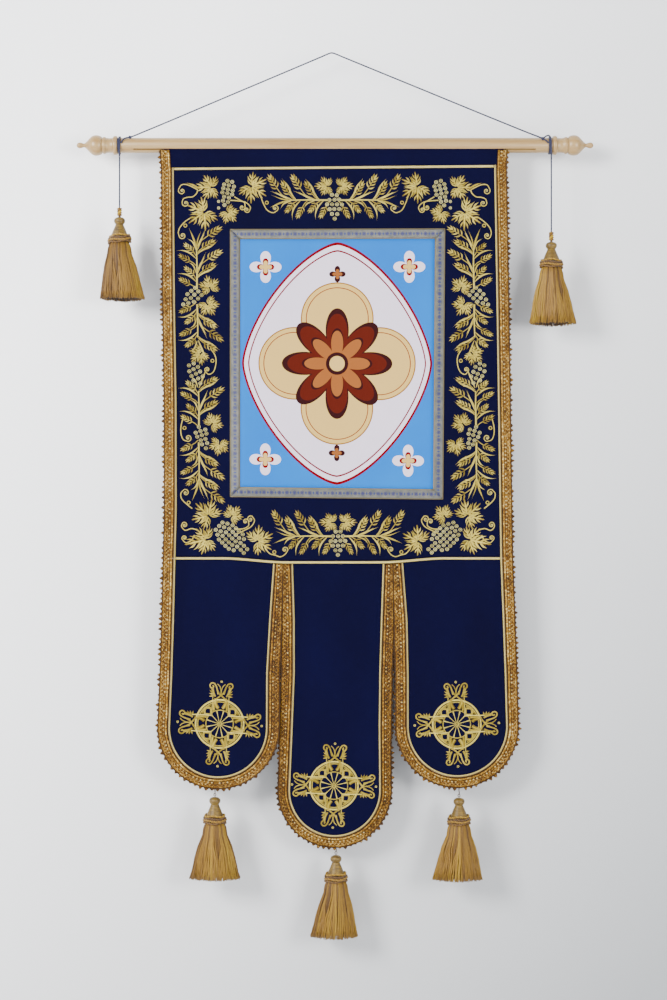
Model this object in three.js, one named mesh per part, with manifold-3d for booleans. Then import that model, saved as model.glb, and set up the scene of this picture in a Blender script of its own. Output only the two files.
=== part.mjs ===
import * as THREE from 'three';
import { mergeVertices } from 'three/addons/utils/BufferGeometryUtils.js';
import Module from 'manifold-3d';

// A church banner on a turned wooden rod, hung by a cord. Millimetres, Z up, X to the right, and
// the front faces -Y. The origin is the top of the hanging cord, where it passes over its nail.

const wasm = await Module();
wasm.setup();

const { degToRad, lerp, smoothstep } = THREE.MathUtils;

// Wood: a dowel with a saw kerf along its lower front, where the cloth is held
const GAP = 0.3; // between two pieces that touch on the real banner
const ROD = { radius: 12.7, left: -365, right: 376.1, z: -157.8, sides: 24 };
const KERF = { left: -337.5, right: 347, width: 2.6, depth: 9, tilt: degToRad(49) };
const FINIAL_SIDES = 14;
// Columns: distance from the rod's end, radius
const FINIAL_PROFILE = [
  [0, 0], [0, 15.2], [1.6, 16], [6, 16], [8, 12.8], [14, 12.2], [20, 13], [21.6, 14.2],
  [24.6, 14.2], [26, 12.8], [30, 16.2], [36.4, 17.4], [43, 15.8], [50, 9], [57, 3.1],
  [60.5, 4.2], [65, 5], [68.4, 3.6], [69.9, 0],
];

// Cloth
const CLEAR = 0.4;
const VELVET = 1.6;
const FACE = VELVET / 2 + 0.5; // from the velvet's middle to the back of what is sewn on it
const MOUTH = 13.3; // from the rod's axis to where the velvet turns down out of the kerf
const MOUTH_Y = -MOUTH * Math.sin(KERF.tilt);
const MOUTH_Z = ROD.z - MOUTH * Math.cos(KERF.tilt);
const HEADING = 7.8; // velvet inside the kerf
const FULL_SLACK = 350; // below the rod, the folds have grown to their full depth
const LAPPET_DROP = 300;
// Slow folds over the whole cloth: how far forward each one comes, its length across and down
const FOLDS = [
  { forward: 1.8, across: 430, down: 1500, start: 0.4 },
  { forward: 0.6, across: 260, down: 900, start: 2.1 },
];

// Where the velvet starts to show, at each height. The slits lie between the second and the third
// column, and between the fourth and the fifth.
const SIDES = rowsOf(['z', 'leftOut', 'leftIn', 'midLeft', 'midRight', 'rightIn', 'rightOut'], [
  [-166, -271, -99.3, -66, 86.9, 121, 277],
  [-200, -268.5, -99.3, -66, 86.9, 121, 276],
  [-430, -266.5, -99.3, -66, 86.9, 121, 280],
  [-600, -263.8, -99.3, -66, 86.9, 121, 282.5],
  [-780, -263.6, -99.3, -66, 86.9, 121, 285],
  [-865, -265.8, -99.3, -66, 86.9, 121, 286.4],
  [-965, -268.3, -106.4, -63, 83.4, 128.7, 290.5],
  [-1057, -271.2, -111.5, -62.8, 80.7, 130.6, 293.9],
  [-1150, -275.1, -111.9, -66.5, 79.8, 130.6, 296.5],
  [-1257, -275.1, -111.9, -71, 80.7, 130.6, 296.5],
]);
// Each lappet: the height of its round end's centre, and how it hangs at its foot
const LAPPETS = rowsOf(['name', 'left', 'right', 'z', 'swing', 'twist', 'curl'], [
  ['left', 'leftOut', 'leftIn', -1150, 3, 2.5, -1.6],
  ['mid', 'midLeft', 'midRight', -1257, -2, -1.5, -1.2],
  ['right', 'rightIn', 'rightOut', -1147, 2, -2.2, -1.8],
]);
const SEAM = { z: -861.7, sag: 6.8, flat: 80, rise: 190, x: 4, gap: 0.8 };
const TOP_LINE = { left: -199.8, right: -195.2 };

// Trims
const BRAID = { width: 4.2, thick: 2 };
const GALLOON = { near: BRAID.width + CLEAR, valley: 21.5, tip: 27, thick: 1.2, pair: 26 };
const TUCK = 2.5; // how far the velvet stops inside the galloon's outer edge
const PANEL_CORNERS = {
  topLeft: new THREE.Vector2(-173.1, -301.9),
  topRight: new THREE.Vector2(192.8, -300.9),
  footLeft: new THREE.Vector2(-173.1, -757.5),
  footRight: new THREE.Vector2(189.4, -761.8),
};
const PANEL = { width: 365, height: 458, thick: 1, ribbon: 17.5 };
const CROSSES = rowsOf(['name', 'x', 'z', 'turn'], [
  ['left', -190.6, -1142.9, -2.8],
  ['mid', 3.7, -1248.5, -1.7],
  ['right', 212.5, -1143.6, 1.6],
]);
const CROSS = { thick: 1.2, lift: FACE + 0.1, ring: 40, petals: 12 };
// Half of one arm of a cross, from the ring to its tip: across, out
const ARM = [[11.5, 38.3], [12.5, 45], [17, 52], [14, 58], [18, 65], [15.5, 71], [6, 66.5]];
const ARM_TIP = 73.5;
// The openings of a cross, drawn on its arm to the right; and where an arm leaves the ring
const PETAL = [[5, 0], [17.5, 3], [17.5, -3]];
const WINDOW = [[24, 0], [29, 5], [34, 0], [29, -5]];
const ARM_HALF_ANGLE = degToRad(16.7);

// Cord and tassels
const CORD = 2.2;
const CORD_SIDES = 8;
const WRAP = { pitch: 2.3, sides: 18, left: -361.6, right: 371.8 };
const DROP_Y = -(ROD.radius + GAP + CORD / 2);
// The V of the hanging cord, from beside the left wrap over the nail to the right wrap
const HANGING_ROUTE = [
  [-357.9, -14.8, -156.2], [-355.2, -13.1, -150.4], [-351, -10.6, -147.1],
  [-343, -7.5, -145], [-320, -5, -135.3],
  [-280, -4.2, -118.5], [-220, -3.3, -92.9], [-160, -2.4, -67.3], [-100, -1.5, -41.8],
  [-50, -0.8, -20.5], [-20, -0.3, -7.7], [-3.9, 0, -0.8], [0, 0, 0], [3.9, 0, -0.8],
  [20, -0.5, -7.5], [50, -1.3, -20], [100, -2.6, -40.8], [160, -4.2, -65.7], [220, -5.7, -90.7],
  [280, -7.3, -115.6], [330, -9, -136.2], [352, -10.8, -145.1], [358.5, -12.2, -148.1],
  [363.5, -13.6, -151.3], [368.1, -14.8, -156],
];
const DROPS = rowsOf(['name', 'x', 'top', 'foot', 'knotFoot'], [
  ['left', -360.5, ROD.z - 9, -266, -280.4],
  ['right', 372.9, ROD.z - 9, -306.9, -322.3],
]);
const KNOT_RADIUS = 3.9;
// A bound knot's outline, as shares of its radius and of its height
const KNOT_PROFILE = [[0, 0], [0.8, 0.03], [1, 0.25], [0.75, 0.5], [1, 0.75], [0.8, 0.94], [0, 0.96]];
const TASSEL = { sides: 10, core: 14.2, coreFoot: -47, foot: -139, depth: 21 };
// The skirt's two rings of locks: how many, their distance from the middle line at the shoulder
// and their share of the foot's spread
const LOCK_RINGS = [
  { count: 14, shoulder: 17, spread: 1 },
  { count: 6, shoulder: 9, spread: 0.55 },
];
const LOCK = { collar: -41, gathered: 0.6, shoulder: -55, radii: [1.7, 3.3, 5], uneven: 2 };
// Each tassel: its place, the height of its knob's top, the stem above it, half its width at the
// foot and how far its foot leans sideways
const TASSELS = rowsOf(['name', 'x', 'top', 'stem', 'stemRadius', 'half', 'lean'], [
  ['cord_left', -360.5, -282.2, 1.5, 2, 36.5, 5],
  ['cord_right', 372.9, -324.2, 1.6, 2, 38.5, 2.5],
  ['lappet_left', -198.6, -1267, 17.5, 0.8, 42, 0],
  ['lappet_mid', 7.1, -1367.3, 16.7, 0.8, 39, -3.4],
  ['lappet_right', 216.2, -1268.7, 20.7, 0.8, 41.5, -2.6],
]);

const finish = (color, roughness, metalness = 0) =>
  new THREE.MeshStandardMaterial({ color, roughness, metalness });
const MATERIALS = {
  wood: finish(0xd8bf98, 0.55),
  velvet: finish(0x10143c, 0.9),
  galloon: finish(0xb98a35, 0.45, 0.35),
  braid: finish(0xdfcf96, 0.4, 0.35),
  print: finish(0x5fa9dc, 0.7),
  ribbon: finish(0x9aa0a8, 0.5, 0.2),
  embroidery: finish(0xd6c27c, 0.4, 0.3),
  cord: finish(0x34406e, 0.7),
  tassel: finish(0xb08c3c, 0.45, 0.2),
};

const banner = new THREE.Group();

function rowsOf(columns, rows) {
  return rows.map((row) => Object.fromEntries(columns.map((name, i) => [name, row[i]])));
}

function addPiece(name, geometry, material) {
  const mesh = new THREE.Mesh(geometry, material);
  mesh.name = name;
  banner.add(mesh);
  return mesh;
}

// The edge of the visible velvet at a height
function sideX(column, z) {
  const low = SIDES.findIndex((row) => row.z <= z);
  if (low <= 0) return SIDES.at(low)[column];
  const above = SIDES[low - 1];
  const below = SIDES[low];
  return lerp(above[column], below[column], (above.z - z) / (above.z - below.z));
}

function seamZ(x) {
  return SEAM.z - SEAM.sag * (1 - smoothstep(Math.abs(x - SEAM.x), SEAM.flat, SEAM.rise));
}

function topLineZ(x) {
  const share = (x - sideX('leftOut', -200)) / (sideX('rightOut', -200) - sideX('leftOut', -200));
  return lerp(TOP_LINE.left, TOP_LINE.right, share);
}

// Middle lines of the two slits
const slitLeft = (z) => (sideX('leftIn', z) + sideX('midLeft', z)) / 2;
const slitRight = (z) => (sideX('midRight', z) + sideX('rightIn', z)) / 2;

for (const lappet of LAPPETS) {
  const left = sideX(lappet.left, lappet.z);
  const right = sideX(lappet.right, lappet.z);
  lappet.x = (left + right) / 2;
  lappet.radius = (right - left) / 2;
}

// How far the cloth comes forward of a plumb line at a place
function forward(x, z, lappet) {
  const free = lappet ? Math.max(0, (seamZ(x) - z) / LAPPET_DROP) : 0;
  let out = 0;
  for (const fold of FOLDS) {
    const turn = 2 * Math.PI * (x / fold.across + z / fold.down) + fold.start;
    out += fold.forward * Math.sin(turn);
  }
  out *= smoothstep(MOUTH_Z - z, 0, FULL_SLACK) * (1 - 0.7 * Math.min(1, free));
  if (lappet) {
    const side = (x - lappet.x) / lappet.radius;
    out += free * (lappet.swing * free + lappet.twist * side + lappet.curl * side * side);
  }
  return out;
}

// A flat place on the cloth, taken to where it hangs; lift is how far in front of the velvet's
// middle it lies. Above the mouth of the kerf the velvet runs back towards the rod's axis.
function place(x, z, lift, lappet) {
  const above = z - MOUTH_Z;
  if (above > CLEAR) {
    const y = MOUTH_Y + above * Math.sin(KERF.tilt) - lift * Math.cos(KERF.tilt);
    return [x, y, MOUTH_Z + above * Math.cos(KERF.tilt) + lift * Math.sin(KERF.tilt)];
  }
  const mitre = Math.abs(above) < CLEAR ? lift * Math.tan(KERF.tilt / 2) : 0;
  return [x, MOUTH_Y - forward(x, z, lappet) - lift, z + mitre];
}

// A closed sheet: the triangles of a flat face, once in front and once behind, and its rim
function sheet(face, back, thick, lappet) {
  const count = face.points.length;
  const position = [];
  for (const lift of [back + thick, back]) {
    for (const p of face.points) position.push(...place(p.x, p.y, lift, lappet));
  }
  const index = [];
  const rim = new Map();
  for (const [a, b, c] of face.triangles) {
    const [p, q, r] = [face.points[a], face.points[b], face.points[c]];
    const area = (q.x - p.x) * (r.y - p.y) - (r.x - p.x) * (q.y - p.y);
    const [i, j, k] = area > 0 ? [a, b, c] : [a, c, b];
    index.push(i, j, k, i + count, k + count, j + count);
    for (const [from, to] of [[i, j], [j, k], [k, i]]) {
      if (!rim.delete(`${to} ${from}`)) rim.set(`${from} ${to}`, [from, to]);
    }
  }
  for (const [from, to] of rim.values()) {
    index.push(to, from, from + count, to, from + count, to + count);
  }
  const geometry = new THREE.BufferGeometry();
  geometry.setAttribute('position', new THREE.Float32BufferAttribute(position, 3));
  geometry.setIndex(index);
  return geometry;
}

function gridFace(rows) {
  const across = rows[0].length;
  const triangles = [];
  for (let here = across + 1; here < rows.length * across; here++) {
    if (here % across === 0) continue;
    const above = here - across;
    triangles.push([above - 1, here - 1, here], [above - 1, here, above]);
  }
  return { points: rows.flat(), triangles };
}

// Points of a grid: at(u, v) for u across and v down, both from 0 to 1
function gridRows(across, down, at) {
  return Array.from({ length: down + 1 }, (_, r) =>
    Array.from({ length: across + 1 }, (_, c) => at(c / across, r / down)));
}

// Field of velvet, from inside the kerf to the seam
function makeField() {
  const under = GALLOON.valley - TUCK;
  const [across, down] = [16, 13];
  const at = (u, z) => new THREE.Vector2(
    lerp(sideX('leftOut', z) - under, sideX('rightOut', z) + under, u), z);
  const rows = gridRows(across, down, (u, v) => {
    const point = at(u, lerp(MOUTH_Z, SEAM.z, v));
    point.y = lerp(MOUTH_Z, seamZ(point.x) + SEAM.gap, v);
    return point;
  });
  const heading = rows[0].map((_, c) => at(c / across, MOUTH_Z + HEADING));
  const face = gridFace([heading, ...rows]);
  addPiece('field_cloth', sheet(face, -VELVET / 2, VELVET), MATERIALS.velvet);
}

// Keeps a piece of one lappet on its own side of the slits
function keepSide(x, z, lappet) {
  const slits = [-Infinity, slitLeft(z), slitRight(z), Infinity];
  const number = LAPPETS.indexOf(lappet);
  return Math.min(Math.max(x, slits[number] + CLEAR), slits[number + 1] - CLEAR);
}

function makeLappet(lappet) {
  const under = GALLOON.valley - TUCK;
  const rows = [];
  const [across, straight, round] = [6, 6, 5];
  const lastTurn = degToRad(80);
  const spread = (left, right, zAt) => Array.from({ length: across + 1 }, (_, c) => {
    const x = lerp(left, right, c / across);
    return new THREE.Vector2(x, zAt(x));
  });
  for (let r = 0; r < straight; r++) {
    const z = lerp(SEAM.z, lappet.z, r / straight);
    const left = keepSide(sideX(lappet.left, z) - under, z, lappet);
    const right = keepSide(sideX(lappet.right, z) + under, z, lappet);
    rows.push(spread(left, right, (x) => lerp(seamZ(x) - SEAM.gap, lappet.z, r / straight)));
  }
  for (let r = 0; r <= round; r++) {
    const turn = lastTurn * r / round;
    const z = lappet.z - (lappet.radius + under) * Math.sin(turn);
    const half = (lappet.radius + under) * Math.cos(turn);
    const left = keepSide(lappet.x - half, z, lappet);
    rows.push(spread(left, keepSide(lappet.x + half, z, lappet), () => z));
  }
  const geometry = sheet(gridFace(rows), -VELVET / 2, VELVET, lappet);
  addPiece(`lappet_${lappet.name}`, geometry, MATERIALS.velvet);
}

// The line round a lappet where its velvet starts to show, from its left top to its right top.
// at(s) is a point of it, moved out of the cloth by reach; s counts pairs of picots.
function hemLine(lappet, leftTop, rightTop) {
  const middle = (GALLOON.near + GALLOON.valley) / 2;
  const left = Math.round((leftTop - lappet.z) / GALLOON.pair);
  const round = Math.round(Math.PI * (lappet.radius + middle) / GALLOON.pair);
  const right = Math.round((rightTop - lappet.z) / GALLOON.pair);
  const at = (s, reach) => {
    const point = new THREE.Vector2();
    if (s < left) {
      point.y = lerp(leftTop, lappet.z, s / left);
      point.x = sideX(lappet.left, point.y) - reach;
    } else if (s <= left + round) {
      const turn = Math.PI * (1 + (s - left) / round);
      point.x = lappet.x + (lappet.radius + reach) * Math.cos(turn);
      point.y = lappet.z + (lappet.radius + reach) * Math.sin(turn);
    } else {
      point.y = lerp(lappet.z, rightTop, (s - left - round) / right);
      point.x = sideX(lappet.right, point.y) + reach;
    }
    point.x = keepSide(point.x, point.y, lappet);
    return point;
  };
  return { count: left + round + right, at };
}

// Galloon: a band with a row of pointed picots along its outer edge, two for each step
function makeGalloon(lappet) {
  const top = { left: MOUTH_Z - 2 * CLEAR, right: MOUTH_Z - 2 * CLEAR };
  const slitTop = (x) => seamZ(x) - BRAID.width / 2 - SEAM.gap;
  if (lappet.name !== 'left') top.left = slitTop(sideX(lappet.left, SEAM.z) - GALLOON.near);
  if (lappet.name !== 'right') top.right = slitTop(sideX(lappet.right, SEAM.z) + GALLOON.near);
  const hem = hemLine(lappet, top.left, top.right);
  const points = [];
  const triangles = [];
  const stride = 5;
  for (let s = 0; s <= hem.count; s++) {
    points.push(hem.at(s, GALLOON.near), hem.at(s, GALLOON.valley));
    if (s === hem.count) break;
    for (const [part, reach] of [[0.25, 'tip'], [0.5, 'valley'], [0.75, 'tip']]) {
      points.push(hem.at(s + part, GALLOON[reach]));
    }
    const first = s * stride;
    const outer = [first + 1, first + 2, first + 3, first + 4, first + stride + 1];
    const next = first + stride;
    triangles.push([first, outer[0], outer[1]], [first, outer[1], outer[2]]);
    triangles.push([first, outer[2], next], [next, outer[2], outer[3]], [next, outer[3], outer[4]]);
  }
  const geometry = sheet({ points, triangles }, FACE, GALLOON.thick, lappet);
  addPiece(`galloon_${lappet.name}`, geometry, MATERIALS.galloon);
}

// Narrow braid inside the galloon, from the line across the top or from the seam
function makeBraid(lappet) {
  const seamTop = (x) => seamZ(x) - BRAID.width / 2 - SEAM.gap;
  const lineTop = (x) => topLineZ(x) + BRAID.width / 2;
  const leftTop = (lappet.name === 'left' ? lineTop : seamTop)(sideX(lappet.left, SEAM.z));
  const rightTop = (lappet.name === 'right' ? lineTop : seamTop)(sideX(lappet.right, SEAM.z));
  const hem = hemLine(lappet, leftTop, rightTop);
  const rows = Array.from({ length: hem.count + 1 }, (_, s) =>
    [hem.at(s, 0), hem.at(s, BRAID.width)]);
  const geometry = sheet(gridFace(rows), FACE, BRAID.thick, lappet);
  addPiece(`braid_${lappet.name}`, geometry, MATERIALS.braid);
}

// Braid across the cloth, between the two outer narrow braids
function makeCrossBraid(name, lineZ) {
  const left = sideX('leftOut', lineZ(0)) + CLEAR;
  const right = sideX('rightOut', lineZ(0)) - CLEAR;
  const rows = gridRows(14, 1, (u, v) => {
    const x = lerp(left, right, u);
    return new THREE.Vector2(x, lineZ(x) + (0.5 - v) * BRAID.width);
  });
  addPiece(name, sheet(gridFace(rows), FACE, BRAID.thick), MATERIALS.braid);
}

// A place on the panel: across and down from its outer top left corner, in millimetres
function panelPoint(across, down) {
  const top = PANEL_CORNERS.topLeft.clone().lerp(PANEL_CORNERS.topRight, across / PANEL.width);
  const foot = PANEL_CORNERS.footLeft.clone().lerp(PANEL_CORNERS.footRight, across / PANEL.width);
  return top.lerp(foot, down / PANEL.height);
}

function makePanel() {
  const inset = PANEL.ribbon + CLEAR;
  const printRows = gridRows(8, 10, (u, v) => panelPoint(
    lerp(inset, PANEL.width - inset, u), lerp(inset, PANEL.height - inset, v)));
  addPiece('icon_panel', sheet(gridFace(printRows), FACE, PANEL.thick), MATERIALS.print);
  const strips = {
    top: (along, deep) => [lerp(deep + CLEAR, PANEL.width - deep - CLEAR, along), deep],
    bottom: (along, deep) => [
      lerp(deep + CLEAR, PANEL.width - deep - CLEAR, along), PANEL.height - deep],
    left: (along, deep) => [deep, lerp(deep + CLEAR, PANEL.height - deep - CLEAR, along)],
    right: (along, deep) => [
      PANEL.width - deep, lerp(deep + CLEAR, PANEL.height - deep - CLEAR, along)],
  };
  for (const [side, strip] of Object.entries(strips)) {
    const rows = gridRows(8, 1, (u, v) => panelPoint(...strip(u, v * PANEL.ribbon)));
    addPiece(`icon_ribbon_${side}`, sheet(gridFace(rows), FACE, PANEL.thick), MATERIALS.ribbon);
  }
}

// Points [x, z], turned about the origin
function turnedPoints(points, turn) {
  return points.map(([x, z]) => new THREE.Vector2(x, z).rotateAround(new THREE.Vector2(), turn));
}

function crossFace(cross) {
  const quarter = Math.PI / 2;
  const outline = [];
  const holes = [];
  for (let arm = 0; arm < 4; arm++) {
    const ring = [1, 2, 3].map((i) => {
      const turn = quarter + ARM_HALF_ANGLE + (quarter - 2 * ARM_HALF_ANGLE) * i / 4;
      return [CROSS.ring * Math.cos(turn), CROSS.ring * Math.sin(turn)];
    });
    const points = [...ARM, [0, ARM_TIP], ...ARM.map(([x, z]) => [-x, z]).reverse(), ...ring];
    outline.push(...turnedPoints(points, arm * quarter));
    holes.push(turnedPoints(WINDOW, (arm + 0.5) * quarter));
  }
  for (let i = 0; i < CROSS.petals; i++) {
    holes.push(turnedPoints(PETAL, 2 * Math.PI * i / CROSS.petals));
  }
  const triangles = THREE.ShapeUtils.triangulateShape(outline, holes);
  const points = [outline, ...holes].flat();
  const centre = new THREE.Vector2(cross.x, cross.z);
  for (const p of points) p.rotateAround(new THREE.Vector2(), degToRad(cross.turn)).add(centre);
  return { points, triangles };
}

// A turned or wound form: a profile of radius and height, spun about the Z axis
function turned(profile, sides) {
  const points = profile.map(([radius, height]) => new THREE.Vector2(radius, height));
  const geometry = new THREE.LatheGeometry(points, sides);
  geometry.rotateX(Math.PI / 2);
  return geometry;
}

function solidOf(geometry) {
  const bare = geometry.clone();
  for (const name of ['normal', 'uv']) bare.deleteAttribute(name);
  const merged = mergeVertices(bare, 1e-3);
  const triVerts = new Uint32Array(merged.index.array);
  const vertProperties = merged.attributes.position.array;
  return new wasm.Manifold(new wasm.Mesh({ numProp: 3, vertProperties, triVerts }));
}

function geometryOf(solid) {
  const mesh = solid.getMesh();
  const geometry = new THREE.BufferGeometry();
  geometry.setAttribute('position', new THREE.BufferAttribute(mesh.vertProperties, mesh.numProp));
  geometry.setIndex(new THREE.BufferAttribute(mesh.triVerts, 1));
  return geometry;
}

function makeRod() {
  const length = ROD.right - ROD.left;
  const dowel = new THREE.CylinderGeometry(ROD.radius, ROD.radius, length, ROD.sides);
  dowel.rotateZ(Math.PI / 2);
  dowel.translate((ROD.left + ROD.right) / 2, 0, 0);
  const cutHeight = KERF.depth * 2;
  const cut = new THREE.BoxGeometry(KERF.right - KERF.left, KERF.width, cutHeight);
  cut.translate((KERF.left + KERF.right) / 2, 0, -ROD.radius);
  cut.rotateX(-KERF.tilt);
  const rod = addPiece('rod', geometryOf(solidOf(dowel).subtract(solidOf(cut))), MATERIALS.wood);
  rod.position.z = ROD.z;
}

function makeFinial(name, x, direction) {
  const profile = FINIAL_PROFILE.map(([out, radius]) => [radius, out]);
  const finial = addPiece(name, turned(profile, FINIAL_SIDES), MATERIALS.wood);
  finial.position.set(x, 0, ROD.z);
  finial.rotation.y = direction * Math.PI / 2;
}

// Two turns of cord round the rod, side by side
function makeWrap(name, x) {
  const radius = CORD / 2;
  const middle = ROD.radius + GAP + radius;
  const half = WRAP.pitch / 2;
  const profile = [
    [middle - radius, -half - radius / 2], [middle, -half - radius], [middle + radius, -half],
    [middle + radius / 2, 0], [middle + radius, half], [middle, half + radius],
    [middle - radius, half + radius / 2], [middle - radius, -half - radius / 2],
  ];
  const wrap = addPiece(name, turned(profile, WRAP.sides), MATERIALS.cord);
  wrap.position.set(x, 0, ROD.z);
  wrap.rotation.y = Math.PI / 2;
}

function cordAlong(points, steps) {
  const line = points.map((p) => new THREE.Vector3(...p));
  const route = new THREE.CatmullRomCurve3(line, false, 'centripetal');
  const ring = Array.from({ length: CORD_SIDES }, (_, i) => {
    const turn = 2 * Math.PI * i / CORD_SIDES;
    return new THREE.Vector2(Math.cos(turn), Math.sin(turn)).multiplyScalar(CORD / 2);
  });
  return new THREE.ExtrudeGeometry(new THREE.Shape(ring), { steps, extrudePath: route });
}

// A drop of cord and the bound knot where it enters its tassel
function makeDrop(drop) {
  const route = [0, 0.25, 0.5, 0.75, 1].map((part) =>
    [drop.x, DROP_Y, lerp(drop.top, drop.foot, part)]);
  addPiece(`cord_drop_${drop.name}`, cordAlong(route, 6), MATERIALS.cord);
  const height = drop.foot - drop.knotFoot;
  const profile = KNOT_PROFILE.map(([out, up]) => [out * KNOT_RADIUS, up * height]);
  const knot = addPiece(`cord_knot_${drop.name}`, turned(profile, CORD_SIDES), MATERIALS.tassel);
  knot.position.set(drop.x, DROP_Y, drop.knotFoot + GAP);
}

// One lock of a tassel's skirt: three-sided, bent at its shoulder under the collar
function lockGeometry(turn, ring, tassel, number) {
  const [gathered, middle, foot] = LOCK.radii;
  const [cos, sin] = [Math.cos(turn), Math.sin(turn)];
  const collar = LOCK.gathered * ring.shoulder;
  const levels = [
    { z: LOCK.collar, x: collar * cos, y: collar * sin, radius: gathered },
    { z: LOCK.shoulder, x: ring.shoulder * cos, y: ring.shoulder * sin, radius: middle },
    {
      z: TASSEL.foot + LOCK.uneven * Math.sin(2.4 * number),
      x: tassel.lean + ring.spread * (tassel.half - foot) * cos,
      y: ring.spread * TASSEL.depth * sin,
      radius: foot,
    },
  ];
  const lock = new THREE.CylinderGeometry(1, 1, 1, 3, 2);
  lock.rotateX(Math.PI / 2);
  lock.rotateZ(turn + Math.PI / 2);
  const position = lock.attributes.position;
  for (let i = 0; i < position.count; i++) {
    const level = levels[Math.round(1 - 2 * position.getZ(i))];
    const x = level.x + level.radius * position.getX(i);
    position.setXYZ(i, x, level.y + level.radius * position.getY(i), level.z);
  }
  return lock;
}

// Columns: radius, height below the knob's top
const HEAD_PROFILE = [[7.5, -1.5], [9.3, -5.5], [8, -9.8], [7.3, -11.5], [10, -20], [13.5, -29.5]];
const COLLAR_PROFILE = [
  [14.6, -43.8], [17.4, -43.6], [18.8, -41.2], [17.2, -38.8], [18.4, -36.4], [16.8, -34],
  [17.6, -31.8], [16.4, -29.8], [14.6, -29.8], [14.6, -43.8],
];

function makeTassel(tassel) {
  const profile = [
    [0, TASSEL.coreFoot], [TASSEL.core, TASSEL.coreFoot], ...HEAD_PROFILE.toReversed(),
    [tassel.stemRadius, 0], [tassel.stemRadius, tassel.stem], [0, tassel.stem],
  ];
  let solid = solidOf(turned(profile, TASSEL.sides));
  for (const ring of LOCK_RINGS) {
    for (let i = 0; i < ring.count; i++) {
      const turn = 2 * Math.PI * (i + 0.3) / ring.count;
      solid = solid.add(solidOf(lockGeometry(turn, ring, tassel, i)));
    }
  }
  const lappet = LAPPETS.find((row) => tassel.name === `lappet_${row.name}`);
  const y = lappet ? place(tassel.x, tassel.top + tassel.stem, 0, lappet)[1] : DROP_Y;
  const body = addPiece(`tassel_${tassel.name}`, geometryOf(solid), MATERIALS.tassel);
  body.position.set(tassel.x, y, tassel.top);
  const ring = turned(COLLAR_PROFILE, TASSEL.sides);
  const collar = addPiece(`tassel_collar_${tassel.name}`, ring, MATERIALS.tassel);
  collar.position.copy(body.position);
}

makeRod();
makeFinial('finial_left', ROD.left - GAP, -1);
makeFinial('finial_right', ROD.right + GAP, 1);
makeField();
for (const lappet of LAPPETS) {
  makeLappet(lappet);
  makeGalloon(lappet);
  makeBraid(lappet);
}
makeCrossBraid('top_braid', topLineZ);
makeCrossBraid('seam_braid', seamZ);
makePanel();
for (const cross of CROSSES) {
  const lappet = LAPPETS.find((row) => row.name === cross.name);
  const geometry = sheet(crossFace(cross), CROSS.lift, CROSS.thick, lappet);
  addPiece(`cross_${cross.name}`, geometry, MATERIALS.embroidery);
}
makeWrap('cord_wrap_left', WRAP.left);
makeWrap('cord_wrap_right', WRAP.right);
addPiece('hanging_cord', cordAlong(HANGING_ROUTE, 100), MATERIALS.cord);
DROPS.forEach(makeDrop);
TASSELS.forEach(makeTassel);

export default banner;
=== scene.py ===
# %% [markdown]
# # A church banner on a rod
# The banner is a velvet cloth with three round lappets. Gold trims are sewn round it, a printed
# panel and metal-thread embroidery lie on it, and it hangs from a wooden rod by a thin cord. Every
# soft piece follows the same gentle folds, so the script first writes down where the cloth hangs.

# %% Load the frame
import math

import bpy
import numpy as np
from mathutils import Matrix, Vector


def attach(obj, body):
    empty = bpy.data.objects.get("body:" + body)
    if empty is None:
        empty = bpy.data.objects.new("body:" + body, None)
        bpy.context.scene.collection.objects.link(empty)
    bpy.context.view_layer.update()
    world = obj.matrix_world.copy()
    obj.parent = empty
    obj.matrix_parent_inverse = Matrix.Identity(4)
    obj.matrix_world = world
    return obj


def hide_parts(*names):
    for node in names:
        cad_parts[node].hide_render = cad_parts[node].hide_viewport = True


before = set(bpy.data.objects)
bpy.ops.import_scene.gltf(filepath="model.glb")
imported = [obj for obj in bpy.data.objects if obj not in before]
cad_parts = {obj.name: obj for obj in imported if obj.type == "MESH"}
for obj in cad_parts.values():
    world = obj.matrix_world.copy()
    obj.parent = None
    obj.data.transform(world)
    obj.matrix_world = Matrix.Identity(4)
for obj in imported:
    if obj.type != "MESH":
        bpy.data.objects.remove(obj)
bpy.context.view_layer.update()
print("nodes in the frame:", len(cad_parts))

# %% [markdown]
# ## Units and the camera
# Sewing patterns are drawn in millimetres, so the sizes here are too, and they become metres when
# a mesh is written. The camera stands level with the middle of the banner and looks straight at
# it. It comes first, because the cords are measured against what it sees.

# %% Camera
MM = 0.001
VIEW = {"x": 2.9, "z": -762.5, "height": 1700.0, "distance": 3400.0, "cloth": -11.0}
SENSOR = 36.0

bpy.ops.object.select_all(action="DESELECT")
eye = (VIEW["x"] * MM, (VIEW["cloth"] - VIEW["distance"]) * MM, VIEW["z"] * MM)
bpy.ops.object.camera_add(location=eye, rotation=(math.pi / 2, 0, 0))
camera = bpy.context.object
camera.data.sensor_width = SENSOR
camera.data.lens = SENSOR * VIEW["distance"] / VIEW["height"]
bpy.context.scene.camera = camera
print("lens:", round(camera.data.lens, 1), "mm")

# %% [markdown]
# ## Writing a mesh
# Trims and stitches are many small shapes that run along lines, so they are collected in a pile
# of points and faces and written as one mesh. Each point also keeps a place along and across its
# own thread, the UV map, so that a finish can lay its stitches the right way.

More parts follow.
